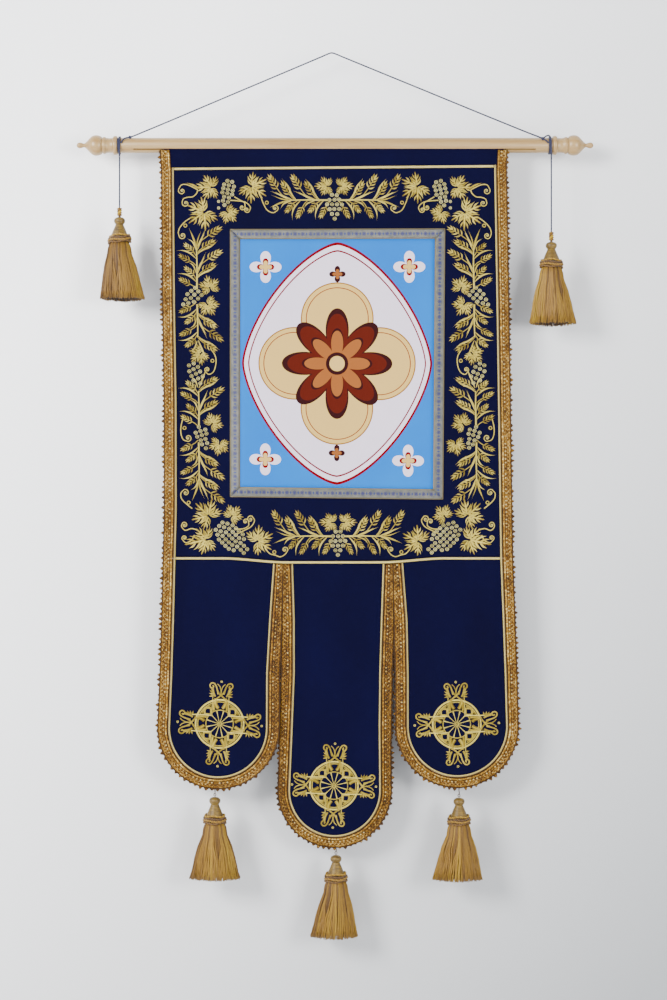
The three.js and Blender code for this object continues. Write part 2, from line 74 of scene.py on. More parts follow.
# %% A pile of points and faces
class Pile:
    def __init__(self):
        self.points, self.uvs, self.tones, self.faces = [], [], [], []
        self.count = 0

    def add(self, points, faces, uvs, tone=0.5):
        """points in millimetres, faces by their numbers, uvs a place for each point"""
        self.points.append(np.asarray(points, float))
        self.uvs.append(np.asarray(uvs, float))
        self.tones.append(np.full(len(points), tone))
        self.faces += [[i + self.count for i in face] for face in faces]
        self.count += len(points)

    def piece(self, name, finish, slot, nodes=(), place=None):
        """Writes the pile as one object that rides on the banner's only body"""
        points = np.concatenate(self.points)
        if place is not None:
            points = place(points)
        mesh = bpy.data.meshes.new(name)
        mesh.from_pydata((points * MM).tolist(), [], self.faces)
        uvs = np.concatenate(self.uvs)
        corners = np.empty(len(mesh.loops), dtype=np.int32)
        mesh.loops.foreach_get("vertex_index", corners)
        mesh.uv_layers.new(name="thread").data.foreach_set("uv", uvs[corners].ravel())
        tones = np.concatenate(self.tones)
        mesh.attributes.new("tone", "FLOAT", "POINT").data.foreach_set("value", tones)
        mesh.polygons.foreach_set("use_smooth", np.ones(len(mesh.polygons), dtype=bool))
        mesh.materials.append(finish.material)
        made = bpy.data.objects.new(name, mesh)
        bpy.context.scene.collection.objects.link(made)
        return keep(made, slot, nodes)


def keep(made, slot, nodes=()):
    """A finished piece: its body and the nodes that it stands for; its finish's slot is not used"""
    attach(made, "root")
    if nodes:
        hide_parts(*nodes)
    print(made.name, len(made.data.polygons), "faces")
    return made


# %% Lines and tubes
def smooth_line(points, step):
    """A smooth line through given points, with a point about every step"""
    p = np.array(points, float)
    p = np.vstack([2 * p[0] - p[1], p, 2 * p[-1] - p[-2]])
    line = []
    for a, b, c, d in zip(p, p[1:], p[2:], p[3:]):
        before, span, after = (np.linalg.norm(v) ** 0.5 for v in (b - a, c - b, d - c))
        leave = span * ((b - a) / before - (c - a) / (before + span) + (c - b) / span)
        arrive = span * ((c - b) / span - (d - b) / (span + after) + (d - c) / after)
        steps = max(1, round(np.linalg.norm(c - b) / step))
        for t in np.arange(steps) / steps:
            line.append((2 * t**3 - 3 * t**2 + 1) * b + (t**3 - 2 * t**2 + t) * leave
                        + (3 * t**2 - 2 * t**3) * c + (t**3 - t**2) * arrive)
    return np.array(line + [p[-2]])


def lengths_along(line):
    return np.concatenate([[0], np.cumsum(np.linalg.norm(np.diff(line, axis=0), axis=1))])


def directions(line):
    way = np.gradient(line, axis=0)
    return way / np.linalg.norm(way, axis=1, keepdims=True)


def frames_along(line, side=(0, 1, 0)):
    """Two directions square to the line at each of its points, turning as little as they can"""
    way = directions(line)
    out = np.array(side, float)
    outs = []
    for w in way:
        out = out - w * out.dot(w)
        out = out / np.linalg.norm(out)
        outs.append(out)
    outs = np.array(outs)
    return outs, np.cross(way, outs)


def ring_faces(stations, sides):
    """Faces of a closed tube: its wall of four-sided faces and its two ends"""
    faces = []
    for i in range(stations - 1):
        for j in range(sides):
            k = (j + 1) % sides
            faces.append([i * sides + j, i * sides + k, (i + 1) * sides + k, (i + 1) * sides + j])
    faces.append(list(range(sides))[::-1])
    faces.append([(stations - 1) * sides + j for j in range(sides)])
    return faces


def tube(pile, line, radius, sides, tone=0.5, frames=None, flat=False):
    """A round thread of one radius, or of a radius for each point of its line. One that is drawn on
    the flat pattern is turned over when it is hung, so its faces are written the other way round."""
    line = np.asarray(line, float)
    outs, ups = frames if frames else frames_along(line)
    radius = np.broadcast_to(radius, len(line))[:, None, None]
    turn = 2 * math.pi * np.arange(sides) / sides
    round_it = (np.cos(turn)[None, :, None] * outs[:, None] + np.sin(turn)[None, :, None] * ups[:, None])
    points = line[:, None] + radius * round_it
    along = np.repeat(lengths_along(line), sides)
    around = np.tile(np.arange(sides) / sides, len(line))
    faces = ring_faces(len(line), sides)
    if flat:
        faces = [face[::-1] for face in faces]
    pile.add(points.reshape(-1, 3), faces, np.stack([along, around], 1), tone)


PLY = 0.58


def plied(pile, line, diameter, pitch, plies=3, sides=5, tone=0.5):
    """A cord of plies that twist round its middle line; tone may name one value for each of them"""
    thick = np.broadcast_to(diameter, len(line)) / 2 * PLY
    offset = (thick / PLY - thick)[:, None]
    outs, ups = frames_along(line)
    along = lengths_along(line)
    for k in range(plies):
        turn = (2 * math.pi * (along / pitch + k / plies))[:, None]
        tube(pile, line + offset * (np.cos(turn) * outs + np.sin(turn) * ups), thick, sides,
             np.broadcast_to(tone, plies)[k], (outs, ups))


# %% [markdown]
# ## Finishes
# A finish is a few shader nodes: a colour that varies as the real thing does, a roughness and a
# bump for its weave. Short helpers add a node and link it, so that each recipe stays readable.
# Colours are written as they look on a screen and changed to the linear ones that light needs.

# %% Helpers for shader nodes
BRIGHT_ROOM = 0.36
VIVID = 1.22


def linear(red, green, blue):
    """A colour as a screen shows it, from 0 to 255, as the linear one that a shader takes"""
    parts = [c / 255 for c in (red, green, blue)]
    return tuple(c / 12.92 if c < 0.04 else ((c + 0.055) / 1.055) ** 2.4 for c in parts) + (1.0,)


def screen(red, green, blue):
    """A finish written as it looks in this bright room: darker and stronger by itself"""
    parts = linear(red, green, blue)[:3]
    grey = 0.2126 * parts[0] + 0.7152 * parts[1] + 0.0722 * parts[2]
    return tuple(BRIGHT_ROOM * max(0.0, grey + VIVID * (c - grey)) for c in parts) + (1.0,)


class Finish:
    """A material and short ways to add its nodes"""

    def __init__(self, name, color, roughness, **sockets):
        self.material = bpy.data.materials.new(name)
        self.material.use_nodes = True
        self.tree = self.material.node_tree
        self.shader = self.tree.nodes["Principled BSDF"]
        self.shader.inputs["Base Color"].default_value = color
        self.shader.inputs["Roughness"].default_value = roughness
        self.material.diffuse_color = color
        for socket, value in sockets.items():
            self.shader.inputs[socket.replace("_", " ")].default_value = value

    def node(self, kind, inputs=None, output=0, **settings):
        made = self.tree.nodes.new(kind)
        for key, value in settings.items():
            setattr(made, key, value)
        for key, value in (inputs or {}).items():
            self.put(value, made.inputs[key])
        return made.outputs[output]

    def put(self, value, socket):
        if isinstance(value, bpy.types.NodeSocket):
            self.tree.links.new(value, socket)
        else:
            socket.default_value = value

    def calc(self, operation, *values):
        return self.node("ShaderNodeMath", dict(enumerate(values)), operation=operation)

    def place(self, kind="Object"):
        return self.node("ShaderNodeTexCoord", output=kind)

    def thread(self):
        """Along and across a thread, from the UV map, in millimetres"""
        uv = self.node("ShaderNodeUVMap", uv_map="thread")
        parts = self.tree.nodes.new("ShaderNodeSeparateXYZ")
        self.tree.links.new(uv, parts.inputs[0])
        return parts.outputs[0], parts.outputs[1]

    def axes(self):
        parts = self.tree.nodes.new("ShaderNodeSeparateXYZ")
        self.tree.links.new(self.place(), parts.inputs[0])
        return parts.outputs

    def noise(self, scale, detail=2.0, where=None, stretch=(1, 1, 1)):
        where = where or self.place()
        at = self.node("ShaderNodeMapping", {"Vector": where, "Scale": stretch})
        return self.node("ShaderNodeTexNoise", {"Vector": at, "Scale": scale, "Detail": detail})

    def ramp(self, factor, *stops):
        """A colour for each place of the factor, from (place, colour) stops"""
        made = self.tree.nodes.new("ShaderNodeValToRGB")
        ramp = made.color_ramp
        while len(ramp.elements) < len(stops):
            ramp.elements.new(1.0)
        for element, (position, color) in zip(ramp.elements, stops):
            element.position = position
            element.color = color
        self.put(factor, made.inputs[0])
        return made.outputs[0]

    def mix(self, factor, first, second):
        """A colour between two others; a color mix node has those at its sockets 6 and 7"""
        return self.node("ShaderNodeMix", {0: factor, 6: first, 7: second}, 2, data_type="RGBA")

    def tone(self):
        """How light each thread is, as its mesh says"""
        return self.node("ShaderNodeAttribute", attribute_name="tone", output=2)

    def vary(self, value, swing):
        """A value from 0 to 1 as a swing to both sides of nothing"""
        return self.calc("MULTIPLY_ADD", value, swing, -swing / 2)

    def wave(self, value, length):
        """A soft wave from 0 to 1 along a value"""
        turn = self.calc("SINE", self.calc("MULTIPLY", value, 2 * math.pi / length))
        return self.calc("MULTIPLY_ADD", turn, 0.5, 0.5)

    def color(self, value):
        self.put(value, self.shader.inputs["Base Color"])

    def bump(self, height, distance, strength=1.0):
        """Bumps of a height from 0 to 1, distance millimetres deep"""
        facing = self.node("ShaderNodeBump", {"Height": height, "Distance": distance * MM,
                                              "Strength": strength})
        self.put(facing, self.shader.inputs["Normal"])


# %% [markdown]
# ## The cord
# A dark blue cord of three plies runs from the left end of the rod over its nail to the right
# end. It is taut, so it is a known route and not a simulation. Three thin tubes that twist round
# that route make the plies, and its fine fibres are bump.

# %% Cord finish
cord_finish = Finish("blue cord yarn", screen(44, 50, 112), 0.75, Sheen_Weight=0.15)
fibres = cord_finish.noise(900, 3)
cord_finish.color(cord_finish.ramp(fibres, (0.3, screen(16, 18, 50)), (0.7, screen(52, 58, 108))))
cord_finish.bump(fibres, 0.2, 0.6)

# %% The route over the nail and the two drops
ROD = {"radius": 12.7, "left": -365.0, "right": 376.1, "z": -157.8}
CORD = 2.2
FULL_CORD = 2.9
CORD_PITCH = 7.0
HANGING_ROUTE = [
    (-357.9, -14.8, -156.2), (-355.2, -13.1, -150.4), (-351, -10.6, -147.1),
    (-343, -7.5, -145), (-320, -5, -135.3),
    (-280, -4.2, -118.5), (-220, -3.3, -92.9), (-160, -2.4, -67.3), (-100, -1.5, -41.8),
    (-50, -0.8, -20.5), (-20, -0.3, -7.7), (-3.9, 0, -0.8), (0, 0, 0), (3.9, 0, -0.8),
    (20, -0.5, -7.5), (50, -1.3, -20), (100, -2.6, -40.8), (160, -4.2, -65.7), (220, -5.7, -90.7),
    (280, -7.3, -115.6), (330, -9, -136.2), (352, -10.8, -145.1), (358.5, -12.2, -148.1),
    (363.5, -13.6, -151.3), (368.1, -14.8, -156),
]
WRAP_RADIUS = ROD["radius"] + 0.3 + CORD / 2
DROPS = {
    "left": {"x": -360.5, "foot": -266.0, "knot_foot": -280.4, "first": -363.4},
    "right": {"x": 372.9, "foot": -306.9, "knot_foot": -322.3, "first": 370.0},
}
DROP_TOP = ROD["z"] - 9


def free_cord(name, points, node, **facts):
    """A cord: its plies follow a smooth line through the points"""
    line = smooth_line(points, 0.9)
    pile = Pile()
    plied(pile, line, FULL_CORD, CORD_PITCH)
    made = pile.piece(name, cord_finish, "blue_cord", [node])
    exit_point = [value * MM for value in points[0]]


free_cord("banner_cord", HANGING_ROUTE, "hanging_cord", far_end="object", lay="taut")

# %% [markdown]
# ## Turns round the rod and small knots
# At each end the cord goes twice round the rod before it drops to its tassel. The turns are a
# helix, worked out by a loop. Beside each one the cord has a small overhand knot, a trefoil drawn
# tight, which is the curve that mathematicians use for the same knot.

# %% Turns and knots
def turns(drop, count=2.0, stations=150):
    """A helix that comes over the rod, goes round it and runs down at the front"""
    share = np.linspace(0, 1, stations)
    first = math.radians(45)
    turn = first - share * (first + 2 * math.pi * count)
    x = drop["first"] + share * (drop["x"] - drop["first"])
    down = np.linspace(ROD["z"] - 1, DROP_TOP, 8)
    helix = np.stack([x, -WRAP_RADIUS * np.cos(turn), ROD["z"] + WRAP_RADIUS * np.sin(turn)], 1)
    tail = np.stack([np.full(8, drop["x"]), np.full(8, -WRAP_RADIUS), down], 1)
    return np.concatenate([helix, tail])


def trefoil(centre, size, stations=70):
    turn = np.linspace(0, 2 * math.pi, stations)
    x = np.sin(turn) + 2 * np.sin(2 * turn)
    y = np.cos(turn) - 2 * np.cos(2 * turn)
    return np.stack([x, -0.9 * np.sin(3 * turn), y], 1) * size / 3 + np.array(centre)


SMALL_KNOTS = {"left": (-343, -7.5, -145), "right": (358.5, -12.2, -148.1)}
# On the right the cord also runs over the rod from its knot, which leaves a small open loop
LOOSE_LOOP = [(359.5, -12.4, -147.6), (363.5, -11.4, -144.6), (367, -8, -142.4), (370.4, -3, -141.8),
              (372.8, 2.5, -143.4)]
for side, drop in DROPS.items():
    pile = Pile()
    plied(pile, turns(drop), FULL_CORD, CORD_PITCH)
    pile.piece(f"turns_of_cord_{side}", cord_finish, "blue_cord", [f"cord_wrap_{side}"])
    pile = Pile()
    tube(pile, trefoil(SMALL_KNOTS[side], 2.5), 0.95, 6)
    if side == "right":
        plied(pile, smooth_line(LOOSE_LOOP, 0.7), FULL_CORD, CORD_PITCH)
    pile.piece(f"small_knot_{side}", cord_finish, "blue_cord")

# %% [markdown]
# ## Where the cloth hangs
# The velvet comes out of a saw cut along the rod and hangs almost flat. Two slow folds and a few
# small puckers are sums of waves, and each lappet swings and curls a little at its foot. A flat
# pattern goes to its hung place through one function, so trims, stitches and velvet agree.

# %% The flat pattern's edges
MOUTH = {"tilt": math.radians(49), "out": 13.3, "heading": 7.8}
MOUTH_Y = -MOUTH["out"] * math.sin(MOUTH["tilt"])
MOUTH_Z = ROD["z"] - MOUTH["out"] * math.cos(MOUTH["tilt"])
CLEAR = 0.4
VELVET = 1.6
FACE = VELVET / 2 + 0.5
FULL_SLACK = 350.0
LAPPET_DROP = 300.0
FOLDS = [(1.8, 430.0, 1500.0, 0.4), (0.6, 260.0, 900.0, 2.1)]
PUCKERS = [(0.22, 61.0, 83.0, 1.1), (0.18, -47.0, 58.0, 0.3), (0.12, 33.0, -41.0, 2.6)]

SIDE_COLUMNS = ("z", "left_out", "left_in", "mid_left", "mid_right", "right_in", "right_out")
SIDE_ROWS = np.array([
    [-166, -271, -99.3, -66, 86.9, 121, 277],
    [-200, -268.5, -99.3, -66, 86.9, 121, 276],
    [-430, -266.5, -99.3, -66, 86.9, 121, 280],
    [-600, -263.8, -99.3, -66, 86.9, 121, 282.5],
    [-780, -263.6, -99.3, -66, 86.9, 121, 285],
    [-865, -265.8, -99.3, -66, 86.9, 121, 286.4],
    [-965, -268.3, -106.4, -63, 83.4, 128.7, 290.5],
    [-1057, -271.2, -111.5, -62.8, 80.7, 130.6, 293.9],
    [-1150, -275.1, -111.9, -66.5, 79.8, 130.6, 296.5],
    [-1257, -275.1, -111.9, -71, 80.7, 130.6, 296.5],
])
SIDES = dict(zip(SIDE_COLUMNS, SIDE_ROWS.T))
SEAM = {"z": -861.7, "sag": 6.8, "flat": 80.0, "rise": 190.0, "x": 4.0, "gap": 0.8}
TOP_LINE = {"left": -199.8, "right": -195.2}


def side_x(column, z):
    """Where the velvet starts to show, at a height"""
    return np.interp(-np.asarray(z, float), -SIDES["z"], SIDES[column])


def soft_step(value, low, high):
    share = np.clip((value - low) / (high - low), 0, 1)
    return share * share * (3 - 2 * share)


def seam_z(x):
    rise = soft_step(np.abs(x - SEAM["x"]), SEAM["flat"], SEAM["rise"])
    return SEAM["z"] - SEAM["sag"] * (1 - rise)


def top_line_z(x):
    left, right = side_x("left_out", -200), side_x("right_out", -200)
    return TOP_LINE["left"] + (TOP_LINE["right"] - TOP_LINE["left"]) * (x - left) / (right - left)


def axis_x(z):
    """The banner's middle line"""
    return (side_x("left_out", z) + side_x("right_out", z)) / 2


LAPPETS = {
    "left": {"left": "left_out", "right": "left_in", "z": -1150, "swing": 3, "twist": 2.5, "curl": -1.6},
    "mid": {"left": "mid_left", "right": "mid_right", "z": -1257, "swing": -2, "twist": -1.5, "curl": -1.2},
    "right": {"left": "right_in", "right": "right_out", "z": -1147, "swing": 2, "twist": -2.2, "curl": -1.8},
}
for name, lappet in LAPPETS.items():
    left, right = side_x(lappet["left"], lappet["z"]), side_x(lappet["right"], lappet["z"])
    lappet.update(name=name, x=(left + right) / 2, radius=(right - left) / 2)
    print("lappet", name, "is", round(2 * lappet["radius"]), "mm wide inside its trims")

# %% From the flat pattern to the hung cloth
def forward(x, z, lappet=None):
    """How far the cloth comes forward of a plumb line"""
    free = np.maximum(0, (seam_z(x) - z) / LAPPET_DROP) if lappet else np.zeros_like(x)
    out = sum(f * np.sin(2 * math.pi * (x / across + z / down) + start)
              for f, across, down, start in FOLDS)
    out = out * (1 - 0.7 * np.minimum(1, free))
    out = out + sum(f * np.sin(2 * math.pi * (x / across + z / down) + start)
                    for f, across, down, start in PUCKERS)
    out = out * soft_step(MOUTH_Z - z, 0, FULL_SLACK)
    if lappet:
        side = (x - lappet["x"]) / lappet["radius"]
        out = out + free * (lappet["swing"] * free + lappet["twist"] * side + lappet["curl"] * side**2)
    return out


def hung(points, lappet=None):
    """Flat places (x, lift in front of the velvet's middle, z), taken to where they hang"""
    x, lift, z = points.T
    above = z - MOUTH_Z
    mitre = np.where(np.abs(above) < CLEAR, lift * math.tan(MOUTH["tilt"] / 2), 0)
    y = MOUTH_Y - forward(x, z, lappet) - lift
    tilt = MOUTH["tilt"]
    inside = above > CLEAR
    y = np.where(inside, MOUTH_Y + above * math.sin(tilt) - lift * math.cos(tilt), y)
    height = np.where(inside, MOUTH_Z + above * math.cos(tilt) + lift * math.sin(tilt), z + mitre)
    return np.stack([x, y, height], 1)


def hung_on(lappet):
    return lambda points: hung(points, lappet)


def slit_middle(name, z):
    columns = ("left_in", "mid_left") if name == "left" else ("mid_right", "right_in")
    return (side_x(columns[0], z) + side_x(columns[1], z)) / 2


def keep_side(x, z, lappet):
    """Keeps a piece of one lappet on its own side of the slits"""
    low = {"left": -1e6, "mid": slit_middle("left", z), "right": slit_middle("right", z)}
    high = {"left": slit_middle("left", z), "mid": slit_middle("right", z), "right": 1e6}
    return np.clip(x, low[lappet["name"]] + CLEAR, high[lappet["name"]] - CLEAR)


# %% [markdown]
# ## The velvet
# Velvet is a cut pile, so it drinks light from the front and glows at a glancing angle, which is
# what the shader's sheen is for. The field and the three lappets are thin closed sheets on a fine
# grid, each a front, a back and a rim. A sheet could be draped by simulation, but this cloth
# hangs flat from a straight cut, so its few folds are placed one by one.

# %% Velvet finish
velvet = Finish("navy velvet", screen(8, 6, 44), 0.95, Sheen_Weight=0.08, Sheen_Roughness=0.35,
                Sheen_Tint=screen(40, 48, 150), Specular_IOR_Level=0.08)
lay = velvet.noise(9, 3, stretch=(1, 1, 0.45))
pile_noise = velvet.noise(1400, 2)
tint = velvet.ramp(lay, (0.3, screen(6, 4, 40)), (0.7, screen(10, 8, 54)))
tips = velvet.ramp(pile_noise, (0.35, screen(3, 2, 28)), (0.7, screen(15, 14, 72)))
velvet.color(velvet.mix(0.35, tint, tips))
velvet.bump(pile_noise, 0.35, 0.5)

# %% Velvet sheets
GALLOON = {"near": 4.6, "valley": 21.5, "tip": 27.0, "pair": 26.0}
TUCK = 2.5
UNDER = GALLOON["valley"] - TUCK


def sheet_of(pile, rows, back, thick, tone=0.5):
    """A closed sheet from rows of flat places (x, z): a front, a back and a rim"""
    rows = np.asarray(rows, float)
    down, across = rows.shape[:2]
    flat = rows.reshape(-1, 2)
    count = len(flat)
    front = np.stack([flat[:, 0], np.full(count, back + thick), flat[:, 1]], 1)
    rear = np.stack([flat[:, 0], np.full(count, back), flat[:, 1]], 1)
    faces, rim = [], {}
    for r in range(1, down):
        for c in range(1, across):
            i = r * across + c
            faces.append([i - across - 1, i - 1, i, i - across])
    for face in faces:
        for a, b in zip(face, face[1:] + face[:1]):
            if (b, a) in rim:
                del rim[(b, a)]
            else:
                rim[(a, b)] = True
    faces += [[i + count for i in face[::-1]] for face in faces]
    faces += [[b, a, a + count, b + count] for a, b in rim]
    pile.add(np.concatenate([front, rear]), faces, np.concatenate([flat, flat]), tone)


def field_rows(cell=8.0, wide=600):
    share = np.linspace(0, 1, round(wide / cell) + 1)
    rows = []

    def across_at(z):
        left, right = side_x("left_out", z) - UNDER, side_x("right_out", z) + UNDER
        return left + (right - left) * share

    for z in (MOUTH_Z + MOUTH["heading"], MOUTH_Z + MOUTH["heading"] / 2):
        rows.append(np.stack([across_at(z), np.full_like(share, z)], 1))
    for v in np.linspace(0, 1, round((MOUTH_Z - SEAM["z"]) / cell) + 1):
        x = across_at(MOUTH_Z + (SEAM["z"] - MOUTH_Z) * v)
        rows.append(np.stack([x, MOUTH_Z + (seam_z(x) + SEAM["gap"] - MOUTH_Z) * v], 1))
    return rows


def lappet_rows(lappet, across=26, straight=36, arc=14):
    rows = []
    share = np.linspace(0, 1, across + 1)
    for v in np.linspace(0, 1, straight + 1)[:-1]:
        z = SEAM["z"] + (lappet["z"] - SEAM["z"]) * v
        left = keep_side(side_x(lappet["left"], z) - UNDER, z, lappet)
        right = keep_side(side_x(lappet["right"], z) + UNDER, z, lappet)
        x = left + (right - left) * share
        top = seam_z(x) - SEAM["gap"]
        rows.append(np.stack([x, top + (lappet["z"] - top) * v], 1))
    for turn in np.radians(np.linspace(0, 86, arc + 1)):
        z = lappet["z"] - (lappet["radius"] + UNDER) * math.sin(turn)
        half = (lappet["radius"] + UNDER) * math.cos(turn)
        left = keep_side(lappet["x"] - half, z, lappet)
        right = keep_side(lappet["x"] + half, z, lappet)
        rows.append(np.stack([left + (right - left) * share, np.full(across + 1, z)], 1))
    return rows


pile = Pile()
sheet_of(pile, field_rows(), -VELVET / 2, VELVET)
field = pile.piece("velvet_field", velvet, "velvet", ["field_cloth"], hung)

for name, lappet in LAPPETS.items():
    pile = Pile()
    sheet_of(pile, lappet_rows(lappet), -VELVET / 2, VELVET)
    made = pile.piece(f"velvet_lappet_{name}", velvet, "velvet", [f"lappet_{name}"], hung_on(lappet))

# %% [markdown]
# ## The wooden rod
# The rod is a birch dowel with a saw cut along its lower front, where the cloth is pinched, and
# a turned finial on each end. The dowel is a primitive cylinder that a thin box cuts with a
# boolean. A finial is what a lathe makes, so its outline is spun once round the rod's axis.

# %% Wood finish
wood = Finish("birch wood", screen(222, 196, 156), 0.42, Coat_Weight=0.25, Coat_Roughness=0.3)
grain = wood.noise(1.0, 5, stretch=(9, 190, 190))
pores = wood.noise(1.0, 2, stretch=(60, 1500, 1500))
wood.color(wood.mix(0.25, wood.ramp(grain, (0.3, screen(212, 168, 112)), (0.55, screen(232, 194, 138)),
                                    (0.8, screen(246, 214, 162))),
                    wood.ramp(pores, (0.35, screen(182, 134, 82)), (0.5, screen(240, 206, 152)))))
wood.bump(grain, 0.15, 0.5)

# %% The dowel and its saw cut
KERF = {"left": -337.5, "right": 347.0, "width": 2.6, "depth": 9.0}


def only(made):
    """Selects one object and makes it the active one"""
    bpy.ops.object.select_all(action="DESELECT")
    made.select_set(True)
    bpy.context.view_layer.objects.active = made


def edit_all():
    bpy.ops.object.mode_set(mode="EDIT")
    bpy.ops.mesh.select_all(action="SELECT")


def apply_modifiers(made):
    only(made)
    for modifier in list(made.modifiers):
        bpy.ops.object.modifier_apply(modifier=modifier.name)


def settle(made, name):
    """Gives a modelled piece its name and puts its place into its mesh"""
    only(made)
    bpy.ops.object.transform_apply(location=True, rotation=True, scale=True)
    made.name = made.data.name = name
    return made


length = ROD["right"] - ROD["left"]
middle = ((ROD["left"] + ROD["right"]) / 2 * MM, 0, ROD["z"] * MM)
bpy.ops.object.select_all(action="DESELECT")
bpy.ops.mesh.primitive_cylinder_add(vertices=64, radius=ROD["radius"] * MM, depth=length * MM,
                                    location=middle, rotation=(0, math.pi / 2, 0))
dowel = bpy.context.object
edge = dowel.modifiers.new("worn edge", "BEVEL")
edge.width = 0.8 * MM
edge.segments = 3
edge.limit_method = "ANGLE"
apply_modifiers(dowel)

reach = ROD["radius"]
cut_middle = ((KERF["left"] + KERF["right"]) / 2 * MM, -reach * math.sin(MOUTH["tilt"]) * MM,
              (ROD["z"] - reach * math.cos(MOUTH["tilt"])) * MM)
bpy.ops.object.select_all(action="DESELECT")
bpy.ops.mesh.primitive_cube_add(size=1, location=cut_middle, rotation=(-MOUTH["tilt"], 0, 0))
blade = bpy.context.object
blade.scale = ((KERF["right"] - KERF["left"]) * MM, KERF["width"] * MM, 2 * KERF["depth"] * MM)
cut = dowel.modifiers.new("saw cut", "BOOLEAN")
cut.object = blade
cut.operation = "DIFFERENCE"
apply_modifiers(dowel)
bpy.data.objects.remove(blade)
settle(dowel, "birch_rod")
bpy.ops.object.shade_smooth_by_angle(angle=math.radians(35))
dowel.data.materials.append(wood.material)
keep(dowel, "rod_wood", ["rod"])

# %% Turned finials
FINIAL = [
    (0, 0), (0, 14.6), (0.4, 15.2), (1.6, 16), (3.5, 16.2), (6, 16), (7.2, 14.6), (7.6, 13), (8.4, 12.6),
    (14, 12.2), (19.6, 12.9), (20.2, 13.8), (21.6, 14.4), (23.6, 14.4), (24.8, 13.9), (25.3, 12.9),
    (26.2, 12.9), (27.2, 14.8), (30, 16.2), (33, 17.1), (36.4, 17.4), (39.8, 17), (43, 15.8),
    (46.5, 13), (50, 9.2), (53.5, 5.6), (56, 3.5), (57.4, 3.1), (59, 3.6), (61.5, 4.6), (65, 5),
    (67.4, 4.3), (69.2, 2.4), (69.9, 0),
]


def spun(name, outline, origin, axis, turns=48):
    """A round piece: its outline, (distance along the axis, radius), spun once round the axis"""
    axis = Vector(axis)
    side = Vector((0, 0, 1)) if abs(axis.x) > 0.5 else Vector((1, 0, 0))
    points = [(Vector(origin) + axis * along + side * radius) * MM for along, radius in outline]
    mesh = bpy.data.meshes.new(name)
    mesh.from_pydata(points, [(i, i + 1) for i in range(len(points) - 1)], [])
    made = bpy.data.objects.new(name, mesh)
    bpy.context.scene.collection.objects.link(made)
    only(made)
    edit_all()
    bpy.ops.mesh.spin(steps=turns, angle=2 * math.pi, center=Vector(origin) * MM, axis=axis)
    bpy.ops.mesh.select_all(action="SELECT")
    bpy.ops.mesh.remove_doubles(threshold=0.02 * MM)
    bpy.ops.mesh.normals_make_consistent(inside=False)
    bpy.ops.object.mode_set(mode="OBJECT")
    bpy.ops.object.shade_smooth_by_angle(angle=math.radians(50))
    return made


for side, end, way in (("left", ROD["left"] - 0.3, -1), ("right", ROD["right"] + 0.3, 1)):
    finial = spun(f"turned_finial_{side}", FINIAL, (end, 0, ROD["z"]), (way, 0, 0))
    finial.data.materials.append(wood.material)
    keep(finial, "rod_wood", [f"finial_{side}"])

# %% [markdown]
# ## Following the hem
# The trims run down one side of a lappet, round its foot and up the other side. A place on that
# line is how many pairs of picots it lies along, and how far it reaches out of the velvet. In the
# two slits there is less room, so there the trims are drawn together.

# %% The hem as a line
# In a slit the trims may pass its middle by MERGE, and what reaches less than FREE_REACH isn't drawn
# in. Where there is less room than CROWDED, the galloon is pressed up to MEETING times wider. The
# middle lappet gets more room below the feet of the others, by OPENING's share of each millimetre.
MERGE = 0.9
FREE_REACH = 8.0
CROWDED = 24.0
MEETING = 1.2
OPENING = {"below": 20, "share": 0.4}


